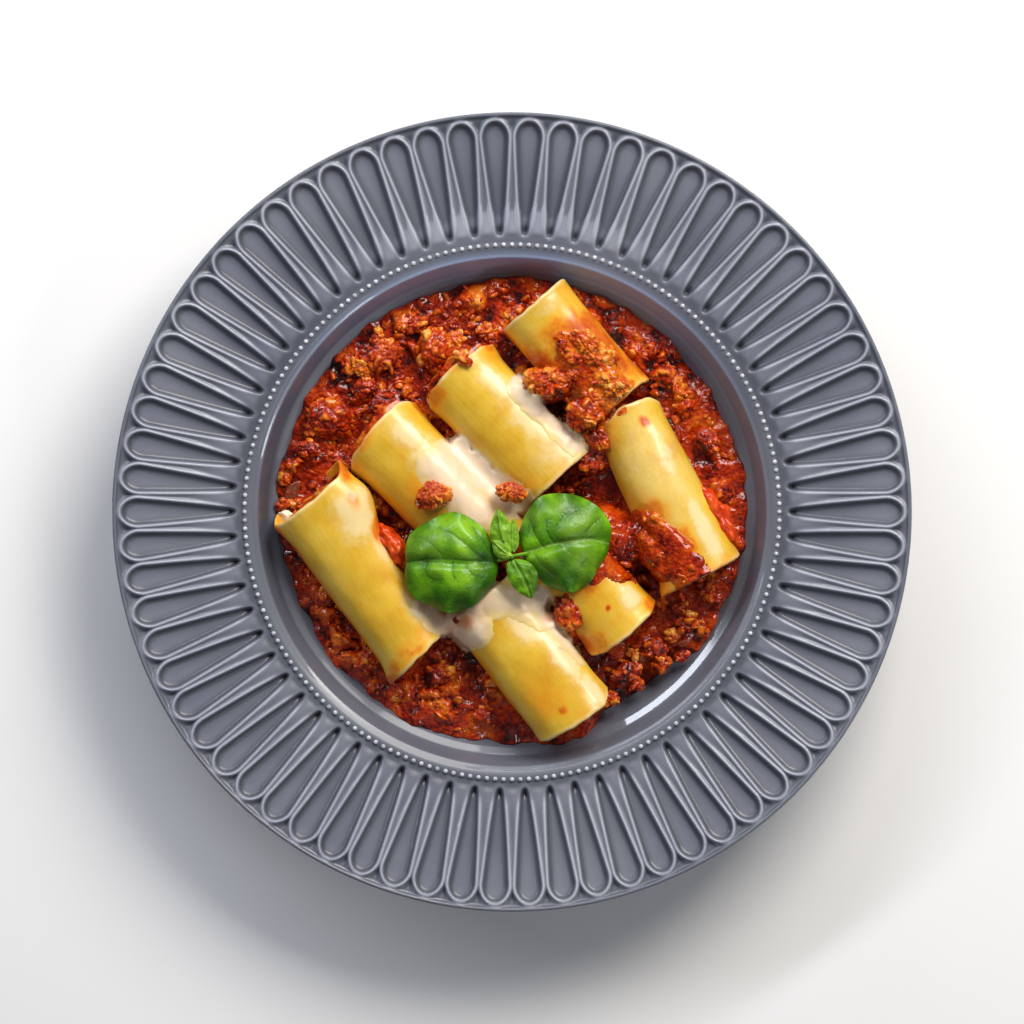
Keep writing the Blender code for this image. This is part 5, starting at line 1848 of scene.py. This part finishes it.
# The cut stalk, with the two short leaf stems that leave it: from, to, radius at each.
STEM_SIDES = 14
STEM_RINGS = 7
STEMS = (
    ((-0.4, -16.2, 33.9), (-0.2, -15.4, 38.6), 1.25, 0.9),
    ((-0.3, -15.8, 36.6), (-5.0, -17.0, 37.6), 0.75, 0.55),
    ((-0.3, -15.6, 36.6), (5.4, -14.4, 37.6), 0.75, 0.55),
)
for start, end, thick_start, thick_end in STEMS:
    start, end = np.array(start), np.array(end)
    line = (end - start) / np.linalg.norm(end - start)
    one = np.cross(line, [0.3, 0.9, 0.1])
    one = one / np.linalg.norm(one)
    two = np.cross(line, one)
    stem_points = [start]
    for t in np.linspace(0.0, 1.0, STEM_RINGS):
        radius = thick_start + (thick_end - thick_start) * t
        for i in range(STEM_SIDES):
            turn = i * math.tau / STEM_SIDES
            outward = math.cos(turn) * one + math.sin(turn) * two
            stem_points.append(start + (end - start) * t + radius * outward)
    stem_points.append(end)
    stem_faces = []
    last_ring = 1 + (STEM_RINGS - 1) * STEM_SIDES
    for i in range(STEM_SIDES):
        j = (i + 1) % STEM_SIDES
        stem_faces.append((0, 1 + j, 1 + i))
        stem_faces.append((len(stem_points) - 1, last_ring + i, last_ring + j))
        for r in range(STEM_RINGS - 1):
            here, there = 1 + r * STEM_SIDES, 1 + (r + 1) * STEM_SIDES
            stem_faces.append((here + i, here + j, there + j, there + i))
    count = len(stem_points)
    # The stalk takes half the crease darkening, as painted shade.
    add_leaf_part(
        stem_points, stem_faces, np.full(count, 0.1), np.full(count, 0.2), np.full(count, 0.5)
    )
sprig = mesh_object(
    "basil_sprig_leaves",
    np.concatenate(leaf_spots),
    leaf_faces_all,
    {
        "vein": np.concatenate(leaf_veins),
        "young": np.concatenate(leaf_youth_and_highlight),
        "crease": np.concatenate(leaf_crease_shades),
    },
)
sprig_parts = bmesh.new()
sprig_parts.from_mesh(sprig.data)
bmesh.ops.recalc_face_normals(sprig_parts, faces=sprig_parts.faces)
sprig_parts.to_mesh(sprig.data)
sprig_parts.free()
finish(sprig, basil, "basil", "basil_sprig")


# ---- the table, the light and the camera --------------------------------------------------------
# A plain pale table top under the plate. A large soft window stands at the far right, a narrow
# one at the far left, a thin strip of light at the near right and a weak fill at the near side,
# and the camera looks straight down on the plate.

tabletop, tree, shader = new_material("matt_pale_table", Roughness=0.75)
place = node(tree, "ShaderNodeTexCoord").outputs["Object"]
mottle = node(tree, "ShaderNodeTexNoise", {"Scale": 6.0, "Detail": 3.0}, {"Vector": place})
tree.links.new(
    ramp(tree, mottle.outputs["Fac"], [(0.3, "#f3f2f0"), (0.7, "#f8f7f6")]),
    shader.inputs["Base Color"],
)
floor = mesh_object(
    "table_top",
    [(-2500, -2500, -0.05), (2500, -2500, -0.05), (2500, 2500, -0.05), (-2500, 2500, -0.05)],
    [(0, 1, 2, 3)],
)
floor.data.materials.append(tabletop)


def window(name, azimuth, elevation, distance, size, watts, colour):
    """A soft area light that faces the plate."""
    lamp = bpy.data.lights.new(name, "AREA")
    lamp.shape = "RECTANGLE"
    lamp.size, lamp.size_y = size
    lamp.energy = watts
    lamp.color = linear(colour)[:3]
    made = bpy.data.objects.new(name, lamp)
    a, e = math.radians(azimuth), math.radians(elevation)
    toward = Vector((math.cos(e) * math.cos(a), math.cos(e) * math.sin(a), math.sin(e)))
    made.location = toward * distance
    made.rotation_euler = toward.to_track_quat("Z", "Y").to_euler()
    bpy.context.scene.collection.objects.link(made)


window("far_window", 60.0, 39.0, 1.3, (0.8, 0.6), 19.0, "#fffaf2")
window("left_window", 125.0, 38.0, 1.3, (1.8, 0.11), 11.0, "#eef3ff")
window("right_glint", -35.0, 42.0, 1.3, (0.8, 0.06), 2.2, "#f4f6ff")
window("near_fill", -78.0, 50.0, 1.5, (1.0, 0.8), 0.8, "#e8efff")

world = bpy.data.worlds.new("soft_room")
world.use_nodes = True
world.node_tree.nodes["Background"].inputs["Color"].default_value = linear("#dfe4ec")
world.node_tree.nodes["Background"].inputs["Strength"].default_value = 0.12
bpy.context.scene.world = world

CAMERA_UP = 2.0
FRAME_WIDTH = 0.3584
lens = bpy.data.cameras.new("camera")
lens.sensor_width = 36.0
lens.lens = 36.0 * CAMERA_UP / FRAME_WIDTH
camera = bpy.data.objects.new("camera", lens)
camera.location = (0.0, 0.0, mm(35.0) + CAMERA_UP)
bpy.context.scene.collection.objects.link(camera)
bpy.context.scene.camera = camera
bpy.context.scene.view_settings.view_transform = "Standard"
